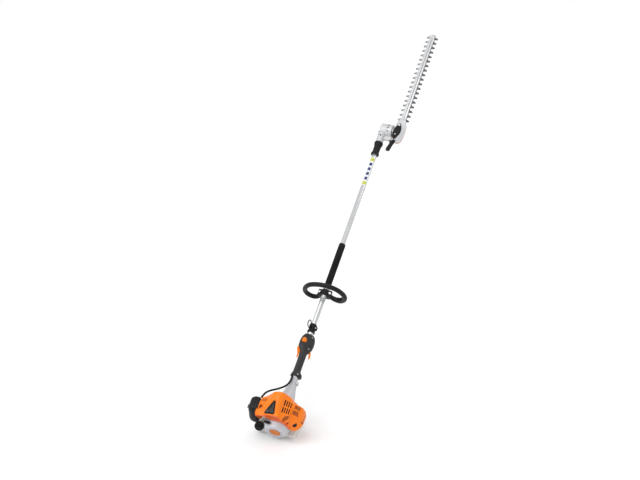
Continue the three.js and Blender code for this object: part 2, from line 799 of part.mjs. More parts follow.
function eccentricGear() {
  const centre = [swivelX, bladeY];
  const wheel = rod([...centre, 8], [...centre, 13], 19, 24);
  const hub = rod([...centre, 0], [...centre, 17], 7, 16);
  const cam = rod([centre[0] + 6, centre[1], -3], [centre[0] + 6, centre[1], 3], 9, 16);
  const grooves = Array.from({ length: 12 }, (_, i) => {
    const groove = block(17.4, 21, -1.2, 1.2, 7, 14).rotateZ((2 * Math.PI * i) / 12);
    return groove.translate(...centre, 0);
  });
  return cut(join(wheel, hub, cam), ...grooves);
}

function almondOutline(inset) {
  const points = [];
  const steps = 8;
  const bulge = (t) => (19 - inset) * Math.sin(Math.PI * t) ** 0.8;
  for (let i = 0; i <= steps; i += 1) {
    const t = i / steps;
    points.push([1682 + inset + (104 - 2 * inset) * t, -72.5 - 9 * t + bulge(t)]);
  }
  for (let i = steps - 1; i > 0; i -= 1) {
    const t = i / steps;
    points.push([1682 + inset + (104 - 2 * inset) * t, -72.5 - 9 * t - bulge(t)]);
  }
  return points.reverse();
}

function swivelCover() {
  return loft([
    almondOutline(0).map(([x, y]) => [x, y, 25.3]),
    almondOutline(0).map(([x, y]) => [x, y, 30]),
    almondOutline(4).map(([x, y]) => [x, y, 34]),
  ]);
}

function swivelGrip() {
  const stations = [
    [1690, -70, 10, 7], [1682, -68, 11, 8], [1660, -62, 10, 9], [1636, -57, 11, 10], [1626, -56, 7, 6],
  ];
  const bar = loft(stations.map(([x, y, wide, tall]) => ringAcross(x, y, 6, wide, tall, 2.3, 16)).reverse());
  return cut(bar, loft([
    headOutline(-gap).map(([x, y]) => [x, y, -30]),
    headOutline(-gap).map(([x, y]) => [x, y, 40]),
  ]));
}

function swivelLatch() {
  const bolt = block(1686, 1719.8, -55, -50.1, -4, 4);
  const thumb = block(1680, 1686.5, -55, -50.1, -8, 14);
  return join(bolt, thumb);
}

// The blades

function toothOutline() {
  const edge = (side, offset) => {
    const points = [];
    for (let i = 0; i < toothCount; i += 1) {
      const x = firstToothX + offset + toothPitch * i;
      points.push([x, side * bodyHalfWidth], [x + 3, side * toothTipHalfWidth]);
      points.push([x + 9, side * toothTipHalfWidth], [x + 17, side * bodyHalfWidth]);
    }
    return points;
  };
  return [edge(-1, 0), edge(1, 4)];
}

function blade(top) {
  const [right, left] = toothOutline();
  const end = firstToothX + toothPitch * toothCount - 2;
  const rootX = swivelX + 16;
  const outline = [
    [rootX, -bodyHalfWidth], ...right, [end - 4, -bodyHalfWidth], [end + 4, -8], [end + 4, 8],
    ...left.reverse(), [rootX, bodyHalfWidth],
  ].map(([x, y]) => [x, y + bladeY]);
  const holes = Array.from({ length: screwCount }, (_, i) => {
    const x = firstScrewX + screwPitch * i;
    return roundSlot(x, bladeY, 2 * stroke + 9, 8);
  });
  const bar = prismZ(outline, top - bladeThickness, top, holes);
  const root = prismZ(circle(swivelX, bladeY, 18, 24), top - bladeThickness, top, [
    circle(swivelX, bladeY, 12.5, 20),
  ]);
  return join(bar, root);
}

// A slot outline with round ends, along X.
function roundSlot(centreX, centreY, length, width) {
  const reach = (length - width) / 2;
  const arc = (side) => Array.from({ length: 4 }, (_, i) => {
    const angle = -Math.PI / 2 + (Math.PI * i) / 3;
    return [
      centreX + side * (reach + (width / 2) * Math.cos(angle)),
      centreY + side * (width / 2) * Math.sin(angle),
    ];
  });
  return [...arc(1), ...arc(-1)];
}

function guideBar() {
  const bottom = bladeTop + gap;
  const top = bottom + 3;
  const tip = firstToothX + toothPitch * toothCount;
  const outline = [
    [1788, -11], [tip - 20, -11], [tip - 6, -9], [tip - 2, -3], [tip - 2, 6], [tip - 6, 17],
    [tip - 12, 22], [tip - 17, 20], [tip - 15, 11], [1788, 11],
  ].map(([x, y]) => [x, y + bladeY]);
  const bar = prismZ(outline, bottom, top);
  const studs = Array.from({ length: screwCount }, (_, i) => {
    const x = firstScrewX + screwPitch * i;
    return rod([x, bladeY, -13.5], [x, bladeY, bottom + 1], 3.4, 12);
  });
  return join(bar, ...studs);
}

// Assembly

const part = new THREE.Group();
const tool = new THREE.Group();
const footMiddleX = footRear[0] + (footLength / 2) * Math.cos(radians(tiltDegrees));
const footMiddleZ = footRear[1] - (footLength / 2) * Math.sin(radians(tiltDegrees));
const footMiddle = new THREE.Vector3(footMiddleX, 0, footMiddleZ);
tool.rotation.y = -radians(tiltDegrees);
tool.position.copy(footMiddle.applyEuler(tool.rotation).negate());
part.add(tool);

piece(tool, 'starter_housing', starterHousing(), 'silver');
piece(tool, 'starter_badge', starterBadge(), 'deepOrange');
piece(tool, 'starter_pulley', starterPulley(), 'black');
piece(tool, 'starter_grip', starterGrip(), 'black');
piece(tool, 'starter_rope', starterRope(), 'rope');

piece(tool, 'crankcase', crankcase(), 'castMetal');
piece(tool, 'crankshaft', crankshaft(), 'steel');
piece(tool, 'flywheel_fan', flywheelFan(), 'castMetal');
piece(tool, 'clutch_hub', clutchHub(), 'steel');
piece(tool, 'clutch_drum', clutchDrum(), 'steel');
piece(tool, 'clutch_housing', clutchHousing(), 'silver');
piece(tool, 'cone_clamp_screw', coneClampScrew(), 'steel');
piece(tool, 'cylinder', cylinder(), 'castMetal');
piece(tool, 'piston', piston(), 'steel');
piece(tool, 'connecting_rod', connectingRod(), 'steel');
piece(tool, 'muffler', muffler(), 'soot');
piece(tool, 'carburettor', carburettor(), 'castMetal');
piece(tool, 'fuel_line', fuelLine(), 'black');

piece(tool, 'engine_hood', engineHood(), 'orange');
piece(tool, 'spark_plug_boot', sparkPlugBoot(), 'glossBlack');
piece(tool, 'muffler_guard', mufflerGuard(), 'orange');
piece(tool, 'air_filter_base', airFilterBase(), 'black');
piece(tool, 'air_filter_element', airFilterElement(), 'felt');
piece(tool, 'air_filter_cover', airFilterCover(), 'black');
piece(tool, 'filter_knob', filterKnob(), 'black');
piece(tool, 'choke_lever', chokeLever(), 'black');
piece(tool, 'primer_bulb', primerBulb(), 'bulb');

piece(tool, 'fuel_tank', fuelTank(), 'tank');
piece(tool, 'fuel_cap', fuelCap(), 'black');

piece(tool, 'cable_sleeve', cableSleeve(), 'black');
piece(tool, 'shaft_tube', shaftTube(), 'tube');
piece(tool, 'drive_shaft', driveShaft(), 'steel');
[700, 1300].forEach((x, i) => {
  piece(tool, `drive_bush_${i + 1}`, driveBush(x), 'black');
});

const handle = new THREE.Group();
handle.rotation.x = -radians(handleRollDegrees);
tool.add(handle);
piece(handle, 'handle_shell_left', handleShell(1), 'black');
piece(handle, 'handle_shell_right', handleShell(-1), 'darkGrey');
piece(handle, 'throttle_trigger', throttleTrigger(), 'orange');
piece(handle, 'lockout_lever', lockoutLever(), 'orange');
piece(handle, 'stop_button', stopButtonForm(17, 33, 0), 'orange');

const ringMount = new THREE.Group();
ringMount.rotation.x = -radians(90 - ringAngleDegrees);
tool.add(ringMount);
piece(ringMount, 'ring_clamp', ringClamp(), 'black');
piece(ringMount, 'carrying_ring', carryingRing(), 'black');

piece(tool, 'loop_handle', loopHandle(), 'black');
piece(tool, 'loop_clamp_cap', loopClampCap(), 'black');
piece(tool, 'loop_clamp_screw_left', loopClampScrew(25), 'steel');
piece(tool, 'loop_clamp_screw_right', loopClampScrew(-25), 'steel');
piece(tool, 'foam_grip', foamGrip(), 'foam');

piece(tool, 'gearbox_sleeve', gearboxSleeve(), 'black');
piece(tool, 'angle_gearbox_housing', angleGearboxHousing(), 'silver');
piece(tool, 'bevel_pinion', bevelPinion(), 'steel');
piece(tool, 'bevel_gear', bevelGear(), 'steel');
piece(tool, 'swivel_latch', swivelLatch(), 'black');

piece(tool, 'swivel_disc', swivelDisc(), 'steel');
piece(tool, 'blade_gearbox_housing', bladeGearboxHousing(), 'silver');
piece(tool, 'blade_gearbox_cover', bladeGearboxCover(), 'deepOrange');
piece(tool, 'eccentric_gear', eccentricGear(), 'steel');
piece(tool, 'swivel_cover', swivelCover(), 'black');
piece(tool, 'swivel_grip', swivelGrip(), 'black');
piece(tool, 'upper_blade', blade(bladeTop), 'blade');
piece(tool, 'lower_blade', blade(bladeTop - bladeThickness - gap), 'blade');
piece(tool, 'guide_bar', guideBar(), 'blade');

export default part;
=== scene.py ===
import json
import bpy
import numpy as np
from mathutils import Matrix, Vector


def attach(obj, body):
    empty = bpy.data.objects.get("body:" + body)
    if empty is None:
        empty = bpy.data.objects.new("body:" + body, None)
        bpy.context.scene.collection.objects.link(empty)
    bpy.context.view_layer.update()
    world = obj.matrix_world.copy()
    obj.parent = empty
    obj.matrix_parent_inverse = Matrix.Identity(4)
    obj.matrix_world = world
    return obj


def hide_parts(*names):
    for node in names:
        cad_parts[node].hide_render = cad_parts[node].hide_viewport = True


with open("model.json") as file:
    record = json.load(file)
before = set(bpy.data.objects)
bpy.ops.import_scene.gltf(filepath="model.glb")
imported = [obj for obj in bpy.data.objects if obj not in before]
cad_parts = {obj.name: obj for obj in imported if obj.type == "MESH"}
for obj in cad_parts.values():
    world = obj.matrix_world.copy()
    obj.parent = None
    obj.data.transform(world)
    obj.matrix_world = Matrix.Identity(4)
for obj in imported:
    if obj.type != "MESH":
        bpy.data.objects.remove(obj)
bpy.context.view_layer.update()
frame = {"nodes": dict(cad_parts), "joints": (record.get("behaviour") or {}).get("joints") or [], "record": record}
print("frame loaded")

# The tool's own frame, in millimetres: x runs along the shaft from the starter to the blades,
# y points to the operator's left and z to the tool's top. The crank joint lies on the shaft's line.
crankX = 100.0
crankJoint = next(j for j in frame["joints"] if j["name"] == "crank_spin")
alongAxis = np.array(crankJoint["axis"])
acrossAxis = np.array([0.0, 1.0, 0.0])
upAxis = np.cross(alongAxis, acrossAxis)
toolOrigin = np.array(crankJoint["pos_m"]) - alongAxis * crankX / 1000
toolAxes = np.array([alongAxis, acrossAxis, upAxis])


def toWorld(points):  # tool millimetres to metres in the part's frame
    return toolOrigin + np.asarray(points, float) @ toolAxes / 1000


def rolled(points, degrees, centre=(0, 0, 0)):  # turns points about the x axis through centre
    angle = np.radians(degrees)
    turn = np.array([[1, 0, 0], [0, np.cos(angle), np.sin(angle)], [0, -np.sin(angle), np.cos(angle)]])
    return (np.asarray(points, float) - centre) @ turn + np.asarray(centre, float)


# Curves and profiles.

def easeBetween(low, high, x):  # 0 below low, 1 above high, a smooth step between them
    t = np.clip((x - low) / (high - low), 0, 1)
    return t * t * (3 - 2 * t)


def monotone(knots, values, x):
    # A cubic through the knots whose slope at each knot is the harmonic mean of its neighbours',
    # or zero where they differ in sign, so that it never swings past a value.
    knots, values = np.asarray(knots, float), np.asarray(values, float)
    step = np.diff(knots)
    secant = np.diff(values) / step
    slope = np.zeros(len(knots))
    same = secant[:-1] * secant[1:] > 0
    slope[1:-1][same] = 2 / (1 / secant[:-1][same] + 1 / secant[1:][same])
    slope[0], slope[-1] = secant[0], secant[-1]
    i = np.clip(np.searchsorted(knots, x) - 1, 0, len(step) - 1)
    t = (x - knots[i]) / step[i]
    a = 2 * t**3 - 3 * t**2 + 1
    b = t**3 - 2 * t**2 + t
    c = 3 * t**2 - 2 * t**3
    d = t**3 - t**2
    return a * values[i] + b * step[i] * slope[i] + c * values[i + 1] + d * step[i] * slope[i + 1]


def tableAt(rows, x):  # every column of a table of stations, at x
    rows = np.asarray(rows, float)
    return [monotone(rows[:, 0], rows[:, k], x) for k in range(1, rows.shape[1])]


def softCorners(points, radius, closed=False, steps=5):
    # Each corner is replaced by a parabola that starts and ends radius away from it.
    points = np.asarray(points, float)
    count = len(points)
    t = np.linspace(0, 1, steps)[:, None]
    out = [] if closed else [points[:1]]
    for i in range(0 if closed else 1, count if closed else count - 1):
        here, before, after = points[i], points[i - 1], points[(i + 1) % count]
        lengthBefore = np.linalg.norm(before - here)
        lengthAfter = np.linalg.norm(after - here)
        start = here + (before - here) * min(radius / lengthBefore, 0.48)
        end = here + (after - here) * min(radius / lengthAfter, 0.48)
        out.append((1 - t) ** 2 * start + 2 * t * (1 - t) * here + t**2 * end)
    if not closed:
        out.append(points[-1:])
    return np.concatenate(out)


def smoothPath(points, count):
    # A Catmull-Rom curve through the points: each stretch is the cubic whose end slopes are half
    # the difference of the neighbouring points.
    p = np.asarray(points, float)
    p = np.concatenate([2 * p[:1] - p[1:2], p, 2 * p[-1:] - p[-2:-1]])
    s = np.linspace(0, len(points) - 1, count)
    i = np.minimum(s.astype(int), len(points) - 2)
    t = (s - i)[:, None]
    a, b, c, d = p[i], p[i + 1], p[i + 2], p[i + 3]
    return 0.5 * (2 * b + (c - a) * t + (2 * a - 5 * b + 4 * c - d) * t**2 + (3 * b - a - 3 * c + d) * t**3)


def superRing(halfWidth, halfHeight, power, sides):
    # A superellipse: cosine and sine raised to 2/power keep their signs; power 2 is an ellipse.
    angle = np.linspace(0, 2 * np.pi, sides, endpoint=False)
    c, s = np.cos(angle), np.sin(angle)
    width, height = np.asarray(halfWidth)[..., None], np.asarray(halfHeight)[..., None]
    return (width * np.sign(c) * np.abs(c) ** (2 / power), height * np.sign(s) * np.abs(s) ** (2 / power))


def insetOutline(outline, distance):
    # Moves each point of a closed outline inwards along the mean of its two edges' normals.
    edge = np.roll(outline, -1, 0) - outline
    normal = np.stack([-edge[:, 1], edge[:, 0]], 1) / np.linalg.norm(edge, axis=1)[:, None]
    before = np.roll(normal, 1, 0)
    mitre = normal + before
    mitre /= np.maximum(np.sum(mitre * normal, 1), 0.5)[:, None]
    area = np.sum(outline[:, 0] * np.roll(outline[:, 1], -1) - outline[:, 1] * np.roll(outline[:, 0], -1))
    return outline + mitre * distance * np.sign(area)


# Solids. A solid is a pair: its points, and a list of face arrays.

def gridFaces(rows, columns, around):
    # Each face joins a point to the next in its row and to the same two in the next row.
    ids = np.arange(rows * columns).reshape(rows, columns)
    if around:
        ids = np.concatenate([ids, ids[:, :1]], 1)
    return np.stack([ids[:-1, :-1], ids[:-1, 1:], ids[1:, 1:], ids[1:, :-1]], -1).reshape(-1, 4)


def signedVolume(points, faces):
    # The sum of the tetrahedra between the origin and each face, negative when the faces point in.
    total = 0.0
    for group in faces:
        first = points[group[:, 0]]
        for k in range(1, group.shape[1] - 1):
            total += np.sum(first * np.cross(points[group[:, k]], points[group[:, k + 1]]))
    return total


def outward(solid):  # turns the faces over where they point inwards
    points, faces = solid
    if signedVolume(points - points.mean(0), faces) < 0:
        faces = [group[:, ::-1] for group in faces]
    return points, faces


def closedGrid(points):
    # Rings of points joined into a skin, with one flat face over each end ring.
    rows, columns = points.shape[:2]
    faces = [gridFaces(rows, columns, True)]
    first = np.arange(columns)[None, ::-1]
    last = np.arange((rows - 1) * columns, rows * columns)[None, :]
    return outward((points.reshape(-1, 3), faces + [first, last]))


def openGrid(points):
    # A grid of points joined into a skin, with nothing over its ends.
    rows, columns = points.shape[:2]
    return points.reshape(-1, 3), [gridFaces(rows, columns, False)]


def lathe(profile, start, direction, sides=64, corner=0.0, lobes=None):
    # Each profile point (distance along the axis, radius) is carried round the axis; lobes, if
    # given, returns a factor on the radius from the angle and the distance along the axis.
    profile = softCorners(profile, corner) if corner else np.asarray(profile, float)
    axis = np.asarray(direction, float) / np.linalg.norm(direction)
    side = np.cross(axis, [0.0, 0.0, 1.0] if abs(axis[2]) < 0.9 else [1.0, 0.0, 0.0])
    side /= np.linalg.norm(side)
    other = np.cross(axis, side)
    angle = np.linspace(0, 2 * np.pi, sides, endpoint=False)
    ring = np.cos(angle)[:, None] * side + np.sin(angle)[:, None] * other
    radius = np.maximum(profile[:, 1], 0.01)[:, None] * np.ones(sides)
    if lobes:
        radius = radius * lobes(angle[None, :], profile[:, :1])
    points = np.asarray(start, float) + profile[:, :1, None] * axis + radius[..., None] * ring
    return closedGrid(points)


def sweep(path, radius, sides=20):
    # A round section carried along a path, each ring turned as little as possible from the last;
    # the first and last rings are drawn in to 0.55 of their size.
    path = np.asarray(path, float)
    tangent = np.gradient(path, axis=0)
    tangent /= np.linalg.norm(tangent, axis=1)[:, None]
    normal = np.cross(tangent[0], [0.31, 0.52, 0.8])
    frames = []
    for t in tangent:
        normal = normal - t * np.dot(normal, t)
        normal = normal / np.linalg.norm(normal)
        frames.append(normal)
    normals = np.array(frames)
    binormals = np.cross(tangent, normals)
    angle = np.linspace(0, 2 * np.pi, sides, endpoint=False)
    size = np.broadcast_to(np.asarray(radius, float), (len(path),)).copy()
    size[0], size[-1] = size[0] * 0.55, size[-1] * 0.55
    path = path.copy()
    path[0], path[-1] = path[0] + tangent[0] * 0.2, path[-1] - tangent[-1] * 0.2
    offset = np.cos(angle)[:, None] * normals[:, None] + np.sin(angle)[:, None] * binormals[:, None]
    return closedGrid(path[:, None] + size[:, None, None] * offset)


def plate(outline, low, high, edge=1.0, plane="xy", steps=4):
    # An outline carried from low to high, with both rims rounded by a quarter circle of size edge.
    outline = np.asarray(outline, float)
    angle = np.linspace(0, np.pi / 2, steps)
    inset = edge * (1 - np.sin(angle))
    rise = edge * (1 - np.cos(angle))
    levels = [(low + r, i) for r, i in zip(rise, inset)]
    levels += [(high - r, i) for r, i in zip(rise[::-1], inset[::-1])]
    rings = []
    for level, pull in levels:
        ring = insetOutline(outline, pull)
        flat = np.full(len(ring), level)
        order = {"xy": (ring[:, 0], ring[:, 1], flat), "xz": (ring[:, 0], flat, ring[:, 1]),
                 "yz": (flat, ring[:, 0], ring[:, 1])}[plane]
        rings.append(np.stack(order, 1))
    return closedGrid(np.array(rings))


def screw(at, direction, radius, height=None):
    # A turned cheese head with a rounded rim and a round socket in its top.
    height = height or radius * 0.7
    profile = [(-1, 0), (-1, radius), (height * 0.8, radius), (height, radius * 0.85),
               (height, radius * 0.52), (height * 0.35, radius * 0.46), (height * 0.35, 0)]
    return lathe(profile, at, direction, 24, radius * 0.12)


def joined(*solids):
    # Several solids as one: their points end to end, each face number moved up by the points before it.
    points, faces, offset = [], [], 0
    for solidPoints, solidFaces in solids:
        points.append(solidPoints)
        faces += [group + offset for group in solidFaces]
        offset += len(solidPoints)
    return np.concatenate(points), faces


def makePiece(name, solid, body, material, nodes=(), sharp=38, values=None):
    # Puts a solid into a mesh, with its values, and says what it rides on and what it stands for.
    points, faces = solid
    mesh = bpy.data.meshes.new(name)
    totals = np.concatenate([np.full(len(group), group.shape[1]) for group in faces])
    loops = np.concatenate([group.ravel() for group in faces])
    mesh.vertices.add(len(points))
    mesh.vertices.foreach_set("co", toWorld(points).astype(np.float32).ravel())
    mesh.loops.add(len(loops))
    mesh.loops.foreach_set("vertex_index", loops.astype(np.int32))
    mesh.polygons.add(len(totals))
    mesh.polygons.foreach_set("loop_start", (np.cumsum(totals) - totals).astype(np.int32))
    mesh.polygons.foreach_set("use_smooth", np.ones(len(totals), bool))
    mesh.update(calc_edges=True)
    mesh.validate()
    if sharp:
        mesh.set_sharp_from_angle(angle=np.radians(sharp))
    for key, data in (values or {}).items():
        layer = mesh.attributes.new(key, "FLOAT", "POINT")
        layer.data.foreach_set("value", np.asarray(data, np.float32).ravel())
    mesh.materials.append(material)
    piece = bpy.data.objects.new(name, mesh)
    bpy.context.scene.collection.objects.link(piece)
    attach(piece, body)
    if nodes:
        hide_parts(*nodes)
    return piece


# Materials.

def newMaterial(name):
    # An empty node material, with its nodes and links.
    material = bpy.data.materials.new(name)
    material.use_nodes = True
    return material, material.node_tree.nodes, material.node_tree.links


def noiseNode(nodes, links, scale, detail=4.0, stretch=None):
    # A noise on Object coordinates, turned to the shaft and stretched where a stretch is given.
    place = nodes.new("ShaderNodeTexCoord")
    noise = nodes.new("ShaderNodeTexNoise")
    noise.inputs["Scale"].default_value = scale
    noise.inputs["Detail"].default_value = detail
    if stretch:
        mapping = nodes.new("ShaderNodeMapping")
        mapping.inputs["Rotation"].default_value = (0, np.arctan2(alongAxis[2], alongAxis[0]), 0)
        mapping.inputs["Scale"].default_value = stretch
        links.new(place.outputs["Object"], mapping.inputs["Vector"])
        links.new(mapping.outputs["Vector"], noise.inputs["Vector"])
    else:
        links.new(place.outputs["Object"], noise.inputs["Vector"])
    return noise


def rangeNode(nodes, links, source, low, high, fromLow=0.3, fromHigh=0.7):
    # A straight line from one range of values to another, held at both ends.
    node = nodes.new("ShaderNodeMapRange")
    node.inputs["From Min"].default_value = fromLow
    node.inputs["From Max"].default_value = fromHigh
    node.inputs["To Min"].default_value = low
    node.inputs["To Max"].default_value = high
    links.new(source, node.inputs["Value"])
    return node.outputs["Result"]


def mixColours(nodes, links, factor, first, second):
    # A share of the first colour and the rest of the second, as the factor says.
    mix = nodes.new("ShaderNodeMix")
    mix.data_type = "RGBA"
    links.new(factor, mix.inputs["Factor"])
    for socket, colour in ((mix.inputs[6], first), (mix.inputs[7], second)):
        if isinstance(colour, tuple):
            socket.default_value = (*colour, 1)
        else:
            links.new(colour, socket)
    return mix.outputs[2]


def surfaceMaterial(name, look):
    # Two tones mixed by a broad noise, a fine noise for the grain's bump, and a middle noise that
    # moves the roughness, with optional painted shade, and on the blades a deeper grey on the outer teeth, mixed
    # in by the piece's own values.
    material, nodes, links = newMaterial(name)
    shader = nodes["Principled BSDF"]
    broad = noiseNode(nodes, links, look.get("patchScale", 14), 3)
    factor = rangeNode(nodes, links, broad.outputs["Fac"], 0, 1)
    colour = mixColours(nodes, links, factor, look["colour"], look.get("second", look["colour"]))
    # painted shade: a near-black tone for hollows, slots, vents and wells; on the blades also a deeper grey on the
    # outer teeth
    if "paintedShadeAndDarkTeeth" in look:
        value = nodes.new("ShaderNodeAttribute")
        value.attribute_name = "paintedShadeAndDarkTeeth"
        colour = mixColours(nodes, links, value.outputs["Fac"], colour, look["paintedShadeAndDarkTeeth"])
    # painted shade: a more red tone for faces turned to the rear, away from the light
    if "rearShade" in look:
        value = nodes.new("ShaderNodeAttribute")
        value.attribute_name = "rearShade"
        colour = mixColours(nodes, links, value.outputs["Fac"], colour, look["rearShade"])
    # painted shade: a brown tone for sunken panels, bowls and slats
    if "shade" in look:
        value = nodes.new("ShaderNodeAttribute")
        value.attribute_name = "shade"
        colour = mixColours(nodes, links, value.outputs["Fac"], colour, look["shade"])
    links.new(colour, shader.inputs["Base Color"])
    middle = noiseNode(nodes, links, look.get("wearScale", 60), 5, look.get("stretch"))
    low, high = look["roughness"]
    links.new(rangeNode(nodes, links, middle.outputs["Fac"], low, high), shader.inputs["Roughness"])
    grain = noiseNode(nodes, links, look.get("grainScale", 900), 2, look.get("stretch"))
    bump = nodes.new("ShaderNodeBump")
    bump.inputs["Strength"].default_value = look.get("bump", 0.1)
    bump.inputs["Distance"].default_value = look.get("bumpDepth", 0.0004)
    links.new(grain.outputs["Fac"], bump.inputs["Height"])
    links.new(bump.outputs["Normal"], shader.inputs["Normal"])
    shader.inputs["Metallic"].default_value = look.get("metal", 0)
    shader.inputs["Specular IOR Level"].default_value = look.get("gloss", 0.5)
    shader.inputs["Coat Weight"].default_value = look.get("coat", 0)
    shader.inputs["Coat Roughness"].default_value = 0.12
    if "through" in look:
        shader.inputs["Subsurface Weight"].default_value = look["through"]
        shader.inputs["Subsurface Radius"].default_value = (0.02, 0.018, 0.015)
        shader.inputs["Subsurface Scale"].default_value = 0.6
    return material


looks = {
    "hoodOrange": {"colour": (0.88, 0.19, 0.004), "second": (0.92, 0.215, 0.006), "roughness": (0.26, 0.34),
                   # painted shade: near black in holes and slots, brown in sunken panels, more red on faces turned
                   # to the rear
                   "paintedShadeAndDarkTeeth": (0.006, 0.005, 0.004), "shade": (0.27, 0.06, 0.008),
                   "rearShade": (0.80, 0.11, 0.004),
                   "gloss": 0.3, "bump": 0.04},
    "deepOrange": {"colour": (0.55, 0.14, 0.01), "second": (0.62, 0.18, 0.02), "roughness": (0.4, 0.55),
                   "gloss": 0.3},
    # near-black painted shade in the handle's wells, on black and on grey plastic
    "blackPlastic": {"colour": (0.006, 0.006, 0.007), "second": (0.010, 0.010, 0.011), "gloss": 0.22,
                     "roughness": (0.34, 0.46), "bump": 0.12, "grainScale": 1400,
                     "paintedShadeAndDarkTeeth": (0.002, 0.002, 0.002)},
    "glossBlack": {"colour": (0.004, 0.004, 0.006), "second": (0.008, 0.008, 0.01), "roughness": (0.1, 0.16),
                   "gloss": 0.35, "bump": 0.02},
    "greyPlastic": {"colour": (0.022, 0.022, 0.024), "second": (0.028, 0.028, 0.03),
                    "roughness": (0.34, 0.46),
                    "gloss": 0.3, "bump": 0.12, "grainScale": 1400, "paintedShadeAndDarkTeeth": (0.002, 0.002, 0.002)},
    # near-black painted shade in the starter's vents
    "silverPlastic": {"colour": (0.50, 0.50, 0.53), "second": (0.55, 0.55, 0.58), "roughness": (0.35, 0.48),
                      "metal": 0.25, "paintedShadeAndDarkTeeth": (0.03, 0.03, 0.032), "bump": 0.06},
    "tankPlastic": {"colour": (0.78, 0.78, 0.75), "second": (0.83, 0.83, 0.80), "roughness": (0.3, 0.42),
                    "through": 0.35, "bump": 0.05},
    "castMetal": {"colour": (0.38, 0.39, 0.4), "second": (0.45, 0.46, 0.47), "roughness": (0.45, 0.65),
                  "metal": 0.8, "bump": 0.35, "grainScale": 500},
    "gearboxPaint": {"colour": (0.56, 0.57, 0.58), "second": (0.62, 0.63, 0.64), "roughness": (0.3, 0.45),
                     "metal": 0.3, "bump": 0.12, "grainScale": 450, "paintedShadeAndDarkTeeth": (0.04, 0.04, 0.042)},
    "steel": {"colour": (0.48, 0.49, 0.5), "second": (0.58, 0.59, 0.6), "roughness": (0.22, 0.4), "metal": 1,
              "bump": 0.05},
    "brightSteel": {"colour": (0.82, 0.83, 0.84), "second": (0.88, 0.89, 0.9), "roughness": (0.15, 0.3),
                    "metal": 1, "bump": 0.03},
    "tubeMetal": {"colour": (0.60, 0.61, 0.62), "second": (0.66, 0.67, 0.68), "roughness": (0.22, 0.34),
                  "metal": 0.75, "stretch": (1, 20, 20), "bump": 0.02, "wearScale": 12},
    # the blades' deeper tone: a deeper grey on the outer teeth, and painted shadow on their right side
    "bladeSteel": {"colour": (0.60, 0.61, 0.62), "second": (0.66, 0.67, 0.68), "roughness": (0.26, 0.4),
                   "metal": 0.5, "bump": 0.03, "wearScale": 40, "paintedShadeAndDarkTeeth": (0.085, 0.085, 0.09)},
    # near-black metal for the gearbox screws; also the guide bar's groove strip, which is painted shade
    "darkMetalAndGrooveShade": {"colour": (0.02, 0.018, 0.016), "second": (0.04, 0.034, 0.03), "roughness": (0.6, 0.85),
                  "metal": 0.3, "bump": 0.4},
    "foamBlack": {"colour": (0.009, 0.009, 0.01), "second": (0.015, 0.015, 0.016), "roughness": (0.75, 0.95),
                  "bump": 0.7, "grainScale": 700, "bumpDepth": 0.0008, "gloss": 0.1},
    "rope": {"colour": (0.6, 0.57, 0.48), "second": (0.7, 0.67, 0.58), "roughness": (0.8, 0.95), "bump": 0.6},
    "felt": {"colour": (0.6, 0.52, 0.33), "second": (0.68, 0.6, 0.4), "roughness": (0.85, 1), "bump": 0.6},
    "bulbRubber": {"colour": (0.66, 0.6, 0.45), "second": (0.72, 0.66, 0.5), "roughness": (0.2, 0.3),
                   "through": 0.4, "bump": 0.03},
    "rubber": {"colour": (0.005, 0.005, 0.006), "second": (0.009, 0.009, 0.01), "roughness": (0.42, 0.58),
               "gloss": 0.2, "bump": 0.1},
    "label": {"colour": (0.86, 0.87, 0.86), "second": (0.82, 0.83, 0.83), "roughness": (0.3, 0.4),
              "bump": 0.02},
    "labelGreen": {"colour": (0.5, 0.55, 0.03), "second": (0.55, 0.6, 0.05), "roughness": (0.3, 0.4),
                   "bump": 0.02},
    "labelBlue": {"colour": (0.02, 0.035, 0.14), "second": (0.03, 0.045, 0.17), "roughness": (0.3, 0.4),
                  "bump": 0.02},
}
paint = {name: surfaceMaterial(name, look) for name, look in looks.items()}

# Every CAD node gets a finish by its record slot; the ones replaced below are then hidden.
slotPaint = {
    "hood_orange": "hoodOrange", "deep_orange": "deepOrange", "black_plastic": "blackPlastic",
    "gloss_black": "glossBlack", "grey_plastic": "greyPlastic", "silver_plastic": "silverPlastic",
    "tank_plastic": "tankPlastic", "cast_metal": "castMetal", "gearbox_paint": "gearboxPaint",
    "steel": "steel", "tube_metal": "tubeMetal", "blade_steel": "bladeSteel", "soot_metal": "darkMetalAndGrooveShade",
    "foam": "foamBlack", "rope": "rope", "felt": "felt", "bulb": "bulbRubber", "rubber": "rubber",
}
nodeSlot = {row["node"]: row["material_slot"] for row in frame["record"]["subparts"]}
for nodeName, nodeObject in frame["nodes"].items():
    nodeObject.data.materials.clear()
    nodeObject.data.materials.append(paint[slotPaint[nodeSlot[nodeName]]])
print("materials made")


# The engine hood.

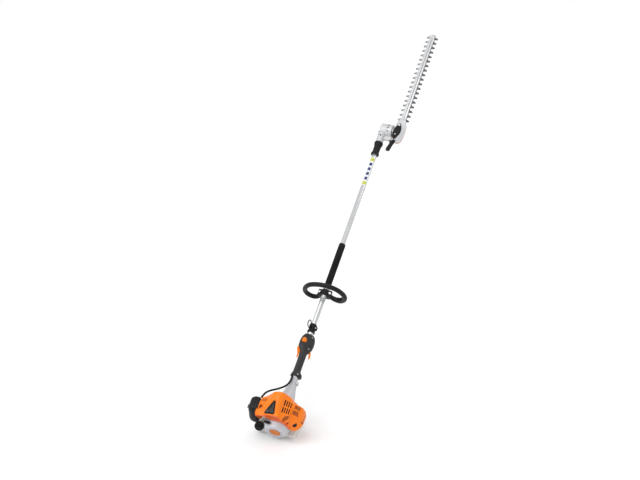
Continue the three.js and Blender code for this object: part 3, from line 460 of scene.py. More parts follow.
hood = {
    # Stations along the shaft; each lists (right, up) points from the left lower edge, over the
    # top, to the right lower edge. The first and last rows are the rims round the two housings.
    "stations": [
        (28, [(-60, 64), (-72, 68), (-82, 76), (-67, 79), (-47, 77), (-29, 68), (-9, 61.5), (8, 61.5),
              (20, 58.8), (31, 54), (41, 46.5), (50, 36), (57, 24), (61.5, 8)]),
        (24.5, [(-62, 66), (-78, 70), (-88, 84), (-70, 96), (-50, 101), (-31, 112), (-10, 117), (10, 118),
                (27, 118), (37, 88), (45, 62), (52, 38), (58, 22), (63, 6)]),
        (38, [(-80, 64), (-91, 71), (-92, 90), (-72, 101), (-51, 106), (-31, 117), (-10, 121), (10, 121),
              (24, 117), (34, 94), (50, 80), (60, 62), (65, 34), (66, 2)]),
        (57, [(-85, 58), (-93, 67), (-92, 92), (-72, 102), (-51, 107), (-31, 118), (-10, 123), (10, 122.5),
              (22, 116), (31, 101), (48, 97), (64, 93), (71, 50), (71, 0)]),
        (90, [(-86, 50), (-94, 63), (-92, 93), (-72, 102), (-50, 108), (-31, 121), (-10, 126.5), (8, 126),
              (20, 119), (30, 102), (48, 97), (65, 91), (71, 50), (71, 0)]),
        (118, [(-80, 40), (-87, 58), (-84, 86), (-66, 95), (-46, 107), (-30, 123), (-10, 130), (8, 129.5),
               (21, 122), (32, 104), (48, 97), (62, 88), (68, 46), (68, 0)]),
        (139, [(-68, 26), (-71, 48), (-68, 70), (-55, 86), (-40, 106), (-27, 123), (-9, 130), (8, 129.5),
               (22, 122), (35, 108), (47, 99), (57, 72), (62, 38), (64, -4)]),
        (150, [(-62, 12), (-66, 38), (-60, 58), (-47, 76), (-33, 95), (-22, 110), (-7, 116), (8, 115.5),
               (22, 108), (33, 94), (42, 84), (51, 60), (57, 32), (60, -6)]),
        (149.5, [(-64.5, 12), (-61, 24), (-53, 39), (-42, 51), (-30, 59), (-18, 63.5), (-6, 65.7), (7, 65.6),
                 (19, 63), (31, 58), (41, 51), (51, 41), (59, 29), (65.5, -7)]),
    ],
    "rows": 190, "columns": 330, "wall": 2.0,
    "smoothAlong": 3, "smoothAround": 6,
    "window": [(98, 10), (92, 16), (37, 43), (31, 39), (31, -3), (37, -7), (93, 3)],
    "windowDepth": 3.4,
    "slotRows": [106, 72], "slotFirst": -33, "slotPitch": -9.2, "slotLength": 28, "slotWidth": 4.6,
    "slotDepth": 4.0,
    "boss": (66, 71), "bossRadius": 10.5,
}


def bilinearNet(net, rows, columns):
    # The control net's straight panels, sampled evenly by mean distance along each direction.
    alongStep = np.linalg.norm(np.diff(net, axis=0), axis=2).mean(1)
    aroundStep = np.linalg.norm(np.diff(net, axis=1), axis=2).mean(0)
    alongKnots = np.concatenate([[0], np.cumsum(alongStep)])
    aroundKnots = np.concatenate([[0], np.cumsum(aroundStep)])
    u = np.linspace(0, alongKnots[-1], rows)
    v = np.linspace(0, aroundKnots[-1], columns)
    half = np.stack([[np.interp(v, aroundKnots, line[:, k]) for k in range(3)] for line in net])
    half = half.transpose(0, 2, 1)
    full = np.empty((rows, columns, 3))
    for k in range(3):
        i = np.clip(np.searchsorted(alongKnots, u) - 1, 0, len(alongKnots) - 2)
        t = ((u - alongKnots[i]) / (alongKnots[i + 1] - alongKnots[i]))[:, None]
        full[..., k] = half[i, :, k] * (1 - t) + half[i + 1, :, k] * t
    return full


def smoothGrid(points, along, around, wrap=False):
    # Repeated averaging of each point with its neighbours, 1-2-1, with the outer rims kept.
    points = points.copy()
    for _ in range(along):
        points[1:-1] = (points[:-2] + 2 * points[1:-1] + points[2:]) / 4
    for _ in range(around):
        if wrap:
            points = (np.roll(points, 1, 1) + 2 * points + np.roll(points, -1, 1)) / 4
        else:
            points[:, 1:-1] = (points[:, :-2] + 2 * points[:, 1:-1] + points[:, 2:]) / 4
    return points


def gridNormals(points):
    # The cross product of the steps along and across the grid at each point, made one long.
    along = np.gradient(points, axis=0)
    around = np.gradient(points, axis=1)
    normal = np.cross(along, around)
    normal /= np.maximum(np.linalg.norm(normal, axis=2), 1e-9)[..., None]
    return normal


def slotMask(x, y, centreX, centreY, length, width, turn=0.0):
    # 1 inside a slot with round ends and 0 outside, with an edge one millimetre wide.
    c, s = np.cos(turn), np.sin(turn)
    along = (x - centreX) * c + (y - centreY) * s
    across = -(x - centreX) * s + (y - centreY) * c
    reach = np.maximum(np.abs(along) - (length - width) / 2, 0)
    distance = np.hypot(reach, across) - width / 2
    return np.clip(0.5 - distance / 1.4, 0, 1)


def polygonDistance(x, y, outline):
    # Distance to a closed outline, negative inside it.
    nearest = np.full(x.shape, 1e9)
    inside = np.zeros(x.shape, bool)
    for (x0, y0), (x1, y1) in zip(outline, outline[1:] + outline[:1]):
        t = np.clip(((x - x0) * (x1 - x0) + (y - y0) * (y1 - y0)) / ((x1 - x0) ** 2 + (y1 - y0) ** 2), 0, 1)
        nearest = np.minimum(nearest, np.hypot(x - x0 - t * (x1 - x0), y - y0 - t * (y1 - y0)))
        crosses = ((y0 > y) != (y1 > y)) & (x < (x1 - x0) * (y - y0) / (y1 - y0 + 1e-12) + x0)
        inside ^= crosses
    return np.where(inside, -nearest, nearest)


def hoodSurface():
    # A net of listed sections, filled in straight between its lines and then smoothed.
    net = np.array([[(x, -right, up) for right, up in line] for x, line in hood["stations"]], float)
    grid = bilinearNet(net, hood["rows"], hood["columns"])
    return smoothGrid(grid, hood["smoothAlong"], hood["smoothAround"])


hoodGrid = hoodSurface()


def makeHood():
    # The hood's surface moved along its normals: inwards at the slots, window and slats, outwards at rims, with
    # painted shade in its hollows.
    normal = gridNormals(hoodGrid)
    if normal[95, 165, 2] < 0:  # a point on the hood's top, where the normal has to point up
        normal = -normal
    x, y, z = hoodGrid[..., 0], hoodGrid[..., 1], hoodGrid[..., 2]
    onTop = (normal[..., 2] > 0.35) & (z > 60)
    onRear = (normal[..., 0] < -0.55)
    deepShade = np.zeros(x.shape)
    shade = np.zeros(x.shape)
    push = np.zeros(x.shape)
    # near-black painted shade in the slots, the window round the spark plug cover, the boss's hole and the hole
    # below the slats
    for centre in hood["slotRows"]:
        for i in range(4):
            mask = slotMask(x, y, centre, hood["slotFirst"] + hood["slotPitch"] * i, hood["slotLength"],
                            hood["slotWidth"]) * onTop
            push -= hood["slotDepth"] * mask
            deepShade = np.maximum(deepShade, mask)
    for i in range(3):
        mask = slotMask(x, y, 102, 56 + 9 * i, 17, 4.4, -0.2) * onTop
        push -= 3 * mask
        deepShade = np.maximum(deepShade, mask)
    mask = slotMask(x, y, 57, 85, 12, 4.5, 0.2) * onTop
    push -= 3 * mask
    deepShade = np.maximum(deepShade, mask)
    edge = polygonDistance(x, y, hood["window"])
    mask = np.clip(0.5 - edge / 1.4, 0, 1) * onTop
    push -= hood["windowDepth"] * mask
    deepShade = np.maximum(deepShade, mask)
    push += 1.1 * np.exp(-((edge - 2.2) / 1.2) ** 2) * onTop
    fromBoss = np.hypot(x - hood["boss"][0], y - hood["boss"][1])
    push += (2.4 * np.exp(-((fromBoss - hood["bossRadius"]) / 1.8) ** 2)
             - 6 * easeBetween(8.8, 7, fromBoss)) * onTop
    # brown painted shade in the boss's bowl and a faint ring of it round the boss's foot; near-black painted shade
    # in its hole
    shade = np.maximum(shade, easeBetween(9.2, 8, fromBoss) * onTop)
    deepShade = np.maximum(deepShade, easeBetween(4.6, 3.6, fromBoss) * onTop)
    rim = easeBetween(15.5, 14, fromBoss) * easeBetween(12, 13.5, fromBoss)
    shade = np.maximum(shade, 0.35 * rim * onTop)
    rearPanel = slotMask(y, z, 4, 92, 66, 22, 0.12) * onRear
    push -= 2.0 * rearPanel
    # brown painted shade in the rear panel's hollow
    shade = np.maximum(shade, 0.45 * rearPanel)
    # the slatted hollow behind the slots, and the hole below it: brown painted shade on the slats, near-black
    # painted shade in the hole
    bevel = (x > 26) & (x < 60) & (y < -34) & (z > 30)
    slats = slotMask(y, z, -53, 79, 26, 17, 0.1) * bevel
    push -= 3.0 * slats
    shade = np.maximum(shade, 0.75 * slats)
    for i in range(3):
        slat = slotMask(y, z, -53, 85 - 6 * i, 22, 2.6, 0.1) * bevel
        shade = np.maximum(shade, slat)
        push -= 1.2 * slat
    hole = slotMask(y, z, -57, 50, 12, 12) * bevel
    push -= 5 * hole
    deepShade = np.maximum(deepShade, hole)
    # a more red painted shade on faces turned to the rear, at the starter end of the hood
    rearShade = np.maximum(easeBetween(-0.35, -0.7, normal[..., 0]) * easeBetween(36, 30, x), 0)
    points = hoodGrid + normal * push[..., None]
    solid = openGrid(points)
    faces = solid[1][0]
    across = np.cross(points.reshape(-1, 3)[faces[:, 1]] - points.reshape(-1, 3)[faces[:, 0]],
                      points.reshape(-1, 3)[faces[:, 2]] - points.reshape(-1, 3)[faces[:, 0]])
    if np.sum(across * normal.reshape(-1, 3)[faces[:, 0]]) < 0:
        solid = (solid[0], [faces[:, ::-1]])
    piece = makePiece("engine_hood_cover", solid, "root", paint["hoodOrange"], ["engine_hood"],
                      0, {"paintedShadeAndDarkTeeth": deepShade, "shade": shade, "rearShade": rearShade})
    wall = piece.modifiers.new("wall", "SOLIDIFY")
    wall.thickness = hood["wall"] / 1000
    wall.offset = -1
    return piece


def hoodHeight(x, y):
    # The height of the hood's outer skin above a point, from the nearest sample of the skin.
    top = hoodGrid[hoodGrid[..., 2] > 60]
    near = np.array([np.argmin((top[:, 0] - a) ** 2 + (top[:, 1] - b) ** 2) for a, b in zip(x, y)])
    return top[near, 2]


def makeBoot():
    # The glossy cover over the spark plug: the window's outline, drawn in and domed.
    outline = softCorners(hood["window"], 6, closed=True, steps=6)
    centre = outline.mean(0)
    rings = []
    for share, lift in ((0.97, -5), (0.97, -0.9), (0.955, -0.2), (0.9, 0.5), (0.7, 1.4), (0.4, 2.2),
                        (0.12, 2.6)):
        ring = centre + (outline - centre) * share
        height = hoodHeight(ring[:, 0], ring[:, 1])
        flat = height.mean() + (ring[:, 0] - centre[0]) * 0.055
        rings.append(np.stack([ring[:, 0], ring[:, 1], 0.5 * height + 0.5 * flat + lift - 0.6], 1))
    makePiece("spark_plug_cover", closedGrid(np.array(rings)), "root", paint["glossBlack"],
              ["spark_plug_boot"], 30)


# The muffler guard.

guard = {
    # x, inner top height, outer top height, height of the widest line, reach to the right, bottom
    "stations": [
        (31, 14, 6, 0, 86, -11), (35, 26, 12, 2, 98, -14), (46, 48, 20, 5, 107, -17),
        (62, 66, 30, 8, 114, -18),
        (78, 80, 50, 22, 118, -18), (108, 86, 58, 28, 118.5, -17), (121, 86, 56, 28, 114, -14),
        (127, 76, 48, 22, 104, -8),
    ],
    "inner": 64, "rows": 130, "columns": 240,
}


def makeGuard():
    # Sections of ten points each, filled in and smoothed, with both ends drawn in.
    lines = []
    for x, innerTop, outerTop, wide, reach, bottom in guard["stations"]:
        inner = guard["inner"]
        mid = (inner + reach) / 2
        lines.append([(x, -right, up) for right, up in [
            (inner, innerTop), (mid, innerTop * 0.55 + outerTop * 0.45), (reach - 7, outerTop),
            (reach, wide), (reach - 3, wide * 0.2 + bottom * 0.35), (reach - 14, bottom), (mid, bottom - 2),
            (inner, bottom), (inner, 5), (inner, innerTop)]])
    net = np.array(lines, float)
    first, last = net[:1].copy(), net[-1:].copy()
    for end, shift in ((first, -1.0), (last, 1.0)):
        middle = end.mean(1, keepdims=True)
        end[:] = middle + (end - middle) * 0.15
        end[..., 0] += shift
    net = np.concatenate([first, net, last])
    grid = bilinearNet(net, guard["rows"], guard["columns"])[:, :-1]
    grid = smoothGrid(grid, 3, 4, wrap=True)
    normal = gridNormals(grid)
    if normal[65, 38, 2] < 0:
        normal = -normal
    x, y, z = grid[..., 0], grid[..., 1], grid[..., 2]
    outside = (normal[..., 2] > 0.15) | (normal[..., 0] < -0.3)
    shade = np.zeros(x.shape)
    deepShade = np.zeros(x.shape)
    push = np.zeros(x.shape)
    # brown painted shade in the two sunken panels; near-black painted shade in their grilles, in the outlet and in
    # the side grooves
    for centreX, centreY in ((107, -88), (82, -85)):
        panel = (np.clip(0.5 - (np.abs(x - centreX) - 9.5) / 1.5, 0, 1)
                 * np.clip(0.5 - (np.abs(y - centreY) - 13) / 1.5, 0, 1)) * outside
        push -= 2.6 * panel
        shade = np.maximum(shade, 0.8 * panel)
        grille = slotMask(y, x, centreY + 3, centreX + 2, 12, 3) * outside
        deepShade = np.maximum(deepShade, grille)
        push -= 1.5 * grille
    outlet = slotMask(y, z, -86, 26, 18, 15, 0.2) * (normal[..., 0] < 0.2) * (x < 66)
    push -= 3.5 * outlet
    deepShade = np.maximum(deepShade, outlet)
    side = (normal[..., 1] < -0.75)
    for i in range(4):
        groove = slotMask(x, z, 66 + 13 * i, 16, 26, 4.6, np.pi / 2) * side
        push -= 2.6 * groove
        deepShade = np.maximum(deepShade, groove)
    points = grid + normal * push[..., None]
    makePiece("muffler_guard_cover", closedGrid(points), "root", paint["hoodOrange"], ["muffler_guard"],
              0, {"paintedShadeAndDarkTeeth": deepShade, "shade": shade})


# Covers, starter and tank.

filterCover = {
    # the outline in (x, height), and stations of (y, inset)
    "outline": [(110, 98), (58, 98), (43, 88), (33, 56), (26, 22), (27, 4), (40, -6), (96, -2), (114, 10),
                (121, 50), (119, 86)],
    "stations": [(92.8, 1.0), (94, 0), (103, 0), (103.6, 1.2), (104.6, 1.2), (105.2, 0.1), (113, 0.9),
                 (120, 3), (127, 7.5), (132, 14), (135, 22), (136, 30)],
}


def makeFilterCover():
    # One outline drawn towards its centre by an inset that depends on the distance out.
    y = np.concatenate([np.linspace(92.8, 106.2, 34), np.linspace(107, 136, 34)])
    inset = tableAt(filterCover["stations"], y)[0]
    outline = softCorners(filterCover["outline"], 16, closed=True, steps=8)
    centre = np.array([78.0, 48.0])
    reach = np.linalg.norm(outline - centre, axis=1)[:, None]
    rings = []
    for level, pull in zip(y, inset):
        ring = centre + (outline - centre) * (1 - pull / reach)
        rings.append(np.stack([ring[:, 0], np.full(len(ring), level), ring[:, 1]], 1))
    makePiece("air_filter_shell", closedGrid(np.array(rings)), "root", paint["blackPlastic"],
              ["air_filter_cover"], 30, {"paintedShadeAndDarkTeeth": np.zeros(len(rings) * len(outline))})


starter = {
    "profile": [(5.5, 0), (5.5, 25.6), (0, 26.4), (0, 44), (3, 49.5), (14, 54.5), (29, 60.3), (43, 63.2),
                (44, 62.5), (44, 56), (43, 0)],
    "vents": 14,
}


def makeStarter():
    # A turned cup with radial vents pressed into its rear face.
    profile = softCorners(starter["profile"][:-1], 2.2)
    profile = np.concatenate([np.linspace([5.5, 0.01], profile[1], 4)[:-1], profile[1:], [[44, 0.01]]])
    fine = [profile[:1]]
    for a, b in zip(profile[:-1], profile[1:]):
        steps = max(int(np.linalg.norm(b - a) / 1.2), 1)
        fine.append(a + (b - a) * (np.arange(1, steps + 1) / steps)[:, None])
    profile = np.concatenate(fine)
    angle = np.linspace(0, 2 * np.pi, 320, endpoint=False)
    radius = profile[:, 1:2] * np.ones(320)
    x = profile[:, :1] * np.ones(320)
    wave = np.cos(angle * starter["vents"])[None, :]
    vent = easeBetween(0.62, 0.8, wave)
    onFace = easeBetween(28, 30, radius) * easeBetween(43, 41, radius) * (x < 4)
    # painted shade in the vents
    ventShade = 0.3 * vent * onFace
    x = x + 1.4 * vent * onFace
    sixSides = (0.5 - 0.5 * np.cos(angle * 6))[None, :]
    flats = 1 - 0.022 * sixSides * easeBetween(2, 10, x) * easeBetween(42, 34, x)
    radius = radius * flats
    points = np.stack([x, radius * np.cos(angle), radius * np.sin(angle)], -1)
    makePiece("starter_cover", closedGrid(points), "root", paint["silverPlastic"], ["starter_housing"],
              40, {"paintedShadeAndDarkTeeth": ventShade})
    badge = lathe([(3, 0), (3, 24.4), (-0.6, 24.2), (-1.6, 22.5), (-1.9, 20), (-1.2, 19.4), (-1.3, 12),
                   (-1.5, 0)],
                  (0, 0, 0), (1, 0, 0), 72, 0.8)
    makePiece("starter_disc", badge, "root", paint["deepOrange"], ["starter_badge"], 30)


def makeStarterGrip():
    # Superellipse rings along the grip, widest at its middle.
    y = np.linspace(-15.5, 15.5, 40)
    wide, tall = tableAt([(-15.5, 2, 2), (-14, 3.8, 3.2), (-8, 6.4, 5.2), (0, 7.2, 5.9), (8, 6.4, 5.2),
                          (14, 3.8, 3.2), (15.5, 2, 2)], y)
    rings = []
    for level, w, t in zip(y, wide, tall):
        u, v = superRing(w, t, 2.4, 28)
        rings.append(np.stack([15 + u, np.full(28, 31 + level), 60.5 + v], 1))
    neck = lathe([(-9, 0), (-9, 5.4), (-7, 4.2), (0, 4.2), (0, 0)], (15, 31, 60), (0, 0, 1), 28, 0.8)
    makePiece("starter_handle", joined(closedGrid(np.array(rings)), neck), "starter_cord",
              paint["blackPlastic"], ["starter_grip"])


tank = {
    "outline": [(30, -85), (110, -125.8), (146, -117), (151, -96), (146, -70), (34, -69.5), (30, -74)],
    "low": -75, "high": 115, "edge": 11,
    "seam": 1.1,  # how far the moulding seam stands out
}


def makeTank():
    # Three outlines carried sideways: the body, its shoulder, and the seam that stands out of it.
    outline = softCorners(tank["outline"], 9, closed=True, steps=6)
    body = plate(outline, tank["low"], tank["high"], tank["edge"], "xz", 7)
    shoulderLine = softCorners([(31, -80), (31, -64), (56.5, -37), (92, -40), (100, -80)], 8, closed=True)
    shoulder = plate(shoulderLine, 75, 114, 7, "xz", 6)
    seamPoints, seamFaces = plate(insetOutline(outline, -tank["seam"]), 18.6, 21.4, 0.8, "xz", 3)
    below = np.minimum(toWorld(seamPoints)[:, 2], 0) * 1000  # the seam is pressed flat where the tank stands
    seam = (seamPoints - below[:, None] * toolAxes[:, 2], seamFaces)
    makePiece("fuel_tank_shell", joined(body, shoulder, seam), "root", paint["tankPlastic"], ["fuel_tank"],
              30)


capPlace = {"mouth": (34, 95, -39), "direction": (-0.70711, 0, 0.70711)}


def makeCap():
    # A cup with fine grip ribs round its rim and a bar across its face.
    def ribs(angle, along):
        ribs = np.sign(np.cos(angle * 20))
        return 1 + 0.028 * ribs * easeBetween(-8.5, -7, along) * easeBetween(6.5, 5, along)

    cup = lathe([(-9.5, 0), (-9.5, 21), (-7, 21.6), (5.5, 21.6), (7.6, 20), (8.4, 17), (7.4, 15), (7.2, 9),
                 (8.2, 7), (8.2, 0)], capPlace["mouth"], capPlace["direction"], 240, 1.2, ribs)
    along = np.array(capPlace["direction"])
    side = np.array([0, 1.0, 0])
    up = np.cross(along, side)
    u, v = superRing(15.5, 3.4, 3, 40)
    rings = []
    for lift, share in ((4, 1), (11, 1), (12.6, 0.94), (13.2, 0.8)):
        ring = share * (u[:, None] * side + v[:, None] * up)
        rings.append(np.array(capPlace["mouth"]) + along * lift + ring)
    makePiece("fuel_cap_grip", joined(cup, closedGrid(np.array(rings))), "tank_cap", paint["blackPlastic"],
              ["fuel_cap"], 30)


def makeCone():
    # The clutch housing: a turned cone with ribs.
    stations = [(131, 63), (147, 63.5), (154, 50), (161, 42), (168, 38.5), (180, 34.8), (200, 30.5),
                (223, 25.4),
                (239, 22.6), (262, 20), (279, 19.2)]
    x = np.concatenate([np.linspace(131, 279, 110), [281, 283, 285, 285.6, 285.6]])
    radius = np.concatenate([tableAt(stations, x[:110])[0], [19.2, 19, 18.6, 17.8, 13.2]])
    angle = np.linspace(0, 2 * np.pi, 160, endpoint=False)
    r = radius[:, None] * np.ones(160)
    rib = np.zeros_like(r)
    for place in (0.0, 90, 180, 270):
        gap = np.abs((np.degrees(angle) - place + 180) % 360 - 180) * np.pi / 180 * r
        rib = np.maximum(rib, easeBetween(3.2, 1.6, gap))
    r = r + 1.8 * rib * (easeBetween(152, 165, x) * easeBetween(275, 262, x))[:, None]
    points = np.stack([x[:, None] * np.ones(160), r * np.cos(angle), r * np.sin(angle)], -1)
    u, v = superRing(8.5, 7, 3, 28)
    bossRings = [np.stack([261 + u * s, np.full(28, y), v * s], 1)
                 for y, s in ((-14, 1), (-26.5, 1), (-27.8, 0.9))]
    makePiece("clutch_cone", joined(closedGrid(points), closedGrid(np.array(bossRings))), "root",
              paint["silverPlastic"], ["clutch_housing"], 30,
              {"paintedShadeAndDarkTeeth": np.zeros(points.shape[0] * 160 + 84)})
    head = screw((261, -22, 7.9), (0, 0, 1), 5.0, 4.2)
    nut = lathe([(0, 0), (0, 5), (4.4, 5), (4.4, 0)], (261, -22, -12), (0, 0, 1), 6)
    makePiece("cone_screw", joined(head, nut), "root", paint["steel"], ["cone_clamp_screw"])


cable = {
    "route": [(294, 7, 23), (272, 3, 27), (249, 3, 34), (222, 9, 46), (198, 22, 61), (177, 38, 77),
              (161, 57, 86), (149, 76, 82), (138, 90, 69), (127, 97, 62)],
    "radius": 4.6, "steps": 150,
}


def makeCable():
    # A round section carried along the route's smooth path.
    path = smoothPath(cable["route"], cable["steps"])
    makePiece("throttle_cable", sweep(path, cable["radius"], 20), "root", paint["rubber"], ["cable_sleeve"],
              30)


makeHood()
makeBoot()
makeGuard()
makeFilterCover()
makeStarter()
makeStarterGrip()
makeTank()
makeCap()
makeCone()
makeCable()
print("engine made")


# The control handle.

handleRoll = -62
buttonTurn = 43
handle = {
    "stations": [  # x, half width, half height, sideways shift
        (293.5, 17, 21, -4), (294.2, 19.5, 24.5, -4), (297, 21, 27, -4), (306, 20.5, 26, -4),
        (312, 19.4, 23.5, -3),
        (318, 17.6, 19.4, -1.5), (326, 16.8, 17.8, 0), (360, 16.4, 17.2, 0), (400, 16.6, 17.4, 0),
        (422, 17, 18.5, 0), (430, 18.2, 23, 0), (438, 19.8, 29, 0), (450, 21.2, 33.6, 0),
        (468, 21.8, 35.8, 0),
        (482, 21.6, 35.6, 0), (498, 20.8, 33.4, 0), (510, 19, 29, 0), (518, 17.2, 24, 0),
        (520.6, 15.4, 20.5, 0),
        (521, 13.2, 17, 0),
    ],
    "rows": 260, "sides": 60,
}


def handleShell(side):
    # Half of the handle: superellipse sections along the shaft, closed by the flat joint face.
    x = np.linspace(293.5, 521, handle["rows"])
    wide, tall, shift = tableAt(handle["stations"], x)
    angle = np.linspace(-np.pi / 2, np.pi / 2, handle["sides"])
    c, s = np.cos(angle), np.sin(angle)
    power = 2.35
    y = wide[:, None] * np.abs(c) ** (2 / power)
    z = shift[:, None] + tall[:, None] * np.sign(s) * np.abs(s) ** (2 / power)
    grid = np.stack([x[:, None] * np.ones(len(angle)), y, z], -1)
    normal = gridNormals(grid)
    if normal[130, 30, 1] < 0:  # a point on the shell's side, where the normal has to point out
        normal = -normal
    push = np.zeros(y.shape)
    deepShade = np.zeros(y.shape)
    seam = easeBetween(1.3, 0.3, y)
    push -= 0.5 * seam
    px, pz = grid[..., 0], grid[..., 2]
    ridge = 0.35 * np.cos(px * 2 * np.pi / 6.2) * easeBetween(326, 332, px) * easeBetween(420, 412, px)
    push += ridge * easeBetween(2.5, 5, y)
    slot = easeBetween(5.9, 5.0, y)
    well = np.maximum(slot * (pz > 0) * easeBetween(386, 388, px) * easeBetween(449, 447, px),
                      slot * (pz < 0) * easeBetween(399, 401, px) * easeBetween(450, 448, px))
    push -= 3.0 * well
    # near-black painted shade in the slots for the trigger and the lockout
    deepShade = np.maximum(deepShade, well)
    if side < 0:
        turn = np.radians(buttonTurn)
        across = y * np.cos(turn) * -1 + pz * np.sin(turn)
        rise = y * np.sin(turn) + pz * np.cos(turn)
        inWell = (np.clip(0.5 - (np.abs(px - 480) - 14.5) / 1.5, 0, 1)
                  * np.clip(0.5 - (np.abs(across) - 11.5) / 1.5, 0, 1)) * (rise > 10)
        push -= 1.6 * inWell
        # near-black painted shade in the stop button's well
        deepShade = np.maximum(deepShade, inWell)
        face = easeBetween(3.0, 0.8, np.abs(np.hypot((px - 470) / 1.25, pz + 11) - 18)) * (y > 12)
        push -= 0.4 * face
    points = grid + normal * push[..., None]
    points[..., 1] = np.maximum(points[..., 1], 0.1)
    points[..., 1] *= side
    back = points[:, ::-1][:, 1:-1].copy()
    back[..., 1] = 0.1 * side
    back[..., 2] *= 0.98
    ring = np.concatenate([points, back], 1)
    values = np.concatenate([deepShade, np.zeros(back.shape[:2])], 1)
    points, faces = closedGrid(ring)
    return (rolled(points, handleRoll), faces), values


def makeHandle():
    # Two halves and the heads of their screws.
    left, leftDeepShade = handleShell(1)
    right, rightDeepShade = handleShell(-1)
    makePiece("handle_half_left", left, "root", paint["blackPlastic"], ["handle_shell_left"],
              30, {"paintedShadeAndDarkTeeth": leftDeepShade})
    makePiece("handle_half_right", right, "root", paint["greyPlastic"], ["handle_shell_right"],
              30, {"paintedShadeAndDarkTeeth": rightDeepShade})
    spots = [(303, -20.4, -4), (444, -19.4, -13), (505, -18.6, -12)]
    heads = [screw(spot, (0, -1, 0), 3.2, 1.2) for spot in spots]
    points, faces = joined(*heads)
    makePiece("handle_screws", (rolled(points, handleRoll), faces), "root", paint["steel"])


leverHalf = 4.7  # half the thickness of the trigger and the lockout


def makeTrigger():
    # A curved lever outline carried across the handle.
    outline = softCorners([(446, -19), (446, -26), (434, -33), (414, -36.5), (404, -34), (403.5, -30),
                           (414, -28), (430, -25), (437, -19)], 3, closed=True)
    points, faces = plate(outline, -leverHalf, leverHalf, 1.6, "xz")
    makePiece("throttle_lever", (rolled(points, handleRoll), faces), "trigger", paint["hoodOrange"],
              ["throttle_trigger"], 30)


def makeLockout():
    # A wedge outline carried across the handle.
    outline = softCorners([(390, 20.6), (390, 25), (415, 28.5), (433, 36), (444, 38), (445, 19), (437, 17),
                           (421, 19)], 2.5, closed=True)
    points, faces = plate(outline, -leverHalf, leverHalf, 1.4, "xz")
    makePiece("lockout_bar", (rolled(points, handleRoll), faces), "lockout", paint["hoodOrange"],
              ["lockout_lever"], 30)


def makeButton():
    # A rounded cap with a hollow for the thumb.
    u, v = superRing(11.5, 9, 3.4, 72)
    rings = []
    for height, share in ((17, 1), (31, 1), (32.4, 0.97), (33, 0.9), (32.8, 0.75), (32.0, 0.55), (31.6, 0.3),
                          (31.5, 0.1)):
        rings.append(np.stack([480 + u * share, v * share, np.full(72, height)], 1))
    points, faces = closedGrid(np.array(rings))
    makePiece("stop_switch_cap", (rolled(rolled(points, buttonTurn), handleRoll), faces), "stop_switch",
              paint["hoodOrange"], ["stop_button"], 30)


makeHandle()
makeTrigger()
makeLockout()
makeButton()
print("control handle made")


# The carrying ring and the loop handle.

ringPlace = {"x": 562, "reach": 20.5, "radius": 17.5, "wire": 2.4, "roll": -12}


def makeRing():
    # A circle of wire: a small circle carried round a large one.
    angle = np.linspace(0, 2 * np.pi, 96, endpoint=False)
    path = np.stack([ringPlace["x"] + ringPlace["radius"] * np.sin(angle), 0 * angle,
                     ringPlace["reach"] + ringPlace["radius"] * (1 - np.cos(angle))], 1)
    centre = np.array([ringPlace["x"], 0, ringPlace["reach"] + ringPlace["radius"]])
    out = (path - centre) / ringPlace["radius"]
    turn = np.linspace(0, 2 * np.pi, 16, endpoint=False)
    wire = (path[:, None] + ringPlace["wire"] * (np.cos(turn)[None, :, None] * out[:, None]
            + np.sin(turn)[None, :, None] * np.array([0, 1.0, 0])))
    points = wire.reshape(-1, 3)
    rows = gridFaces(97, 16, True) % (96 * 16)
    solid = outward((points, [rows]))
    makePiece("carrying_loop", (rolled(solid[0], ringPlace["roll"]), solid[1]), "ring", paint["rubber"],
              ["carrying_ring"], 0)


def makeRingClamp():
    # A turned collar with a superellipse tongue for the ring and a flat ear for the screw.
    collar = lathe([(534, 13.1), (534, 17.4), (536, 18.6), (544, 18.6), (547, 16.6), (567, 16.4), (570, 17.6),
                    (578, 17.6), (580, 16), (580, 13.1)], (0, 0, 0), (1, 0, 0), 72, 1.0)
    u, v = superRing(7.2, 14, 3, 40)
    tongue = [np.stack([np.full(40, x), u * s, 15 + v * s], 1)
              for x, s in ((558.6, 0.9), (559.4, 1), (564.6, 1), (565.4, 0.9))]
    ear = plate(softCorners([(549, -12), (569, -12), (569, -25), (549, -25)], 4, closed=True), -5.5, 5.5, 1.5,
                "xy")
    points, faces = joined(collar, closedGrid(np.array(tongue)), ear)
    makePiece("ring_collar", (rolled(points, ringPlace["roll"]), faces), "root", paint["blackPlastic"],
              ["ring_clamp"], 30)
    head = screw((559, -20, 5.2), (0, 0, 1), 3.4, 3)
    makePiece("ring_collar_screw", (rolled(head[0], ringPlace["roll"]), head[1]), "root",
              paint["brightSteel"])


loop = {
    "x": 758, "radius": 11.5,
    "half": [(0, 20, -18, 0), (-5, 40, -29, 3), (-11, 66, -28, 7), (-14, 90, -8, 7), (-14, 99, 18, 7),
             (-14, 92, 48, 7), (-14, 68, 77, 7), (-14, 35, 92, 7)],  # the last number leans it to the right
}


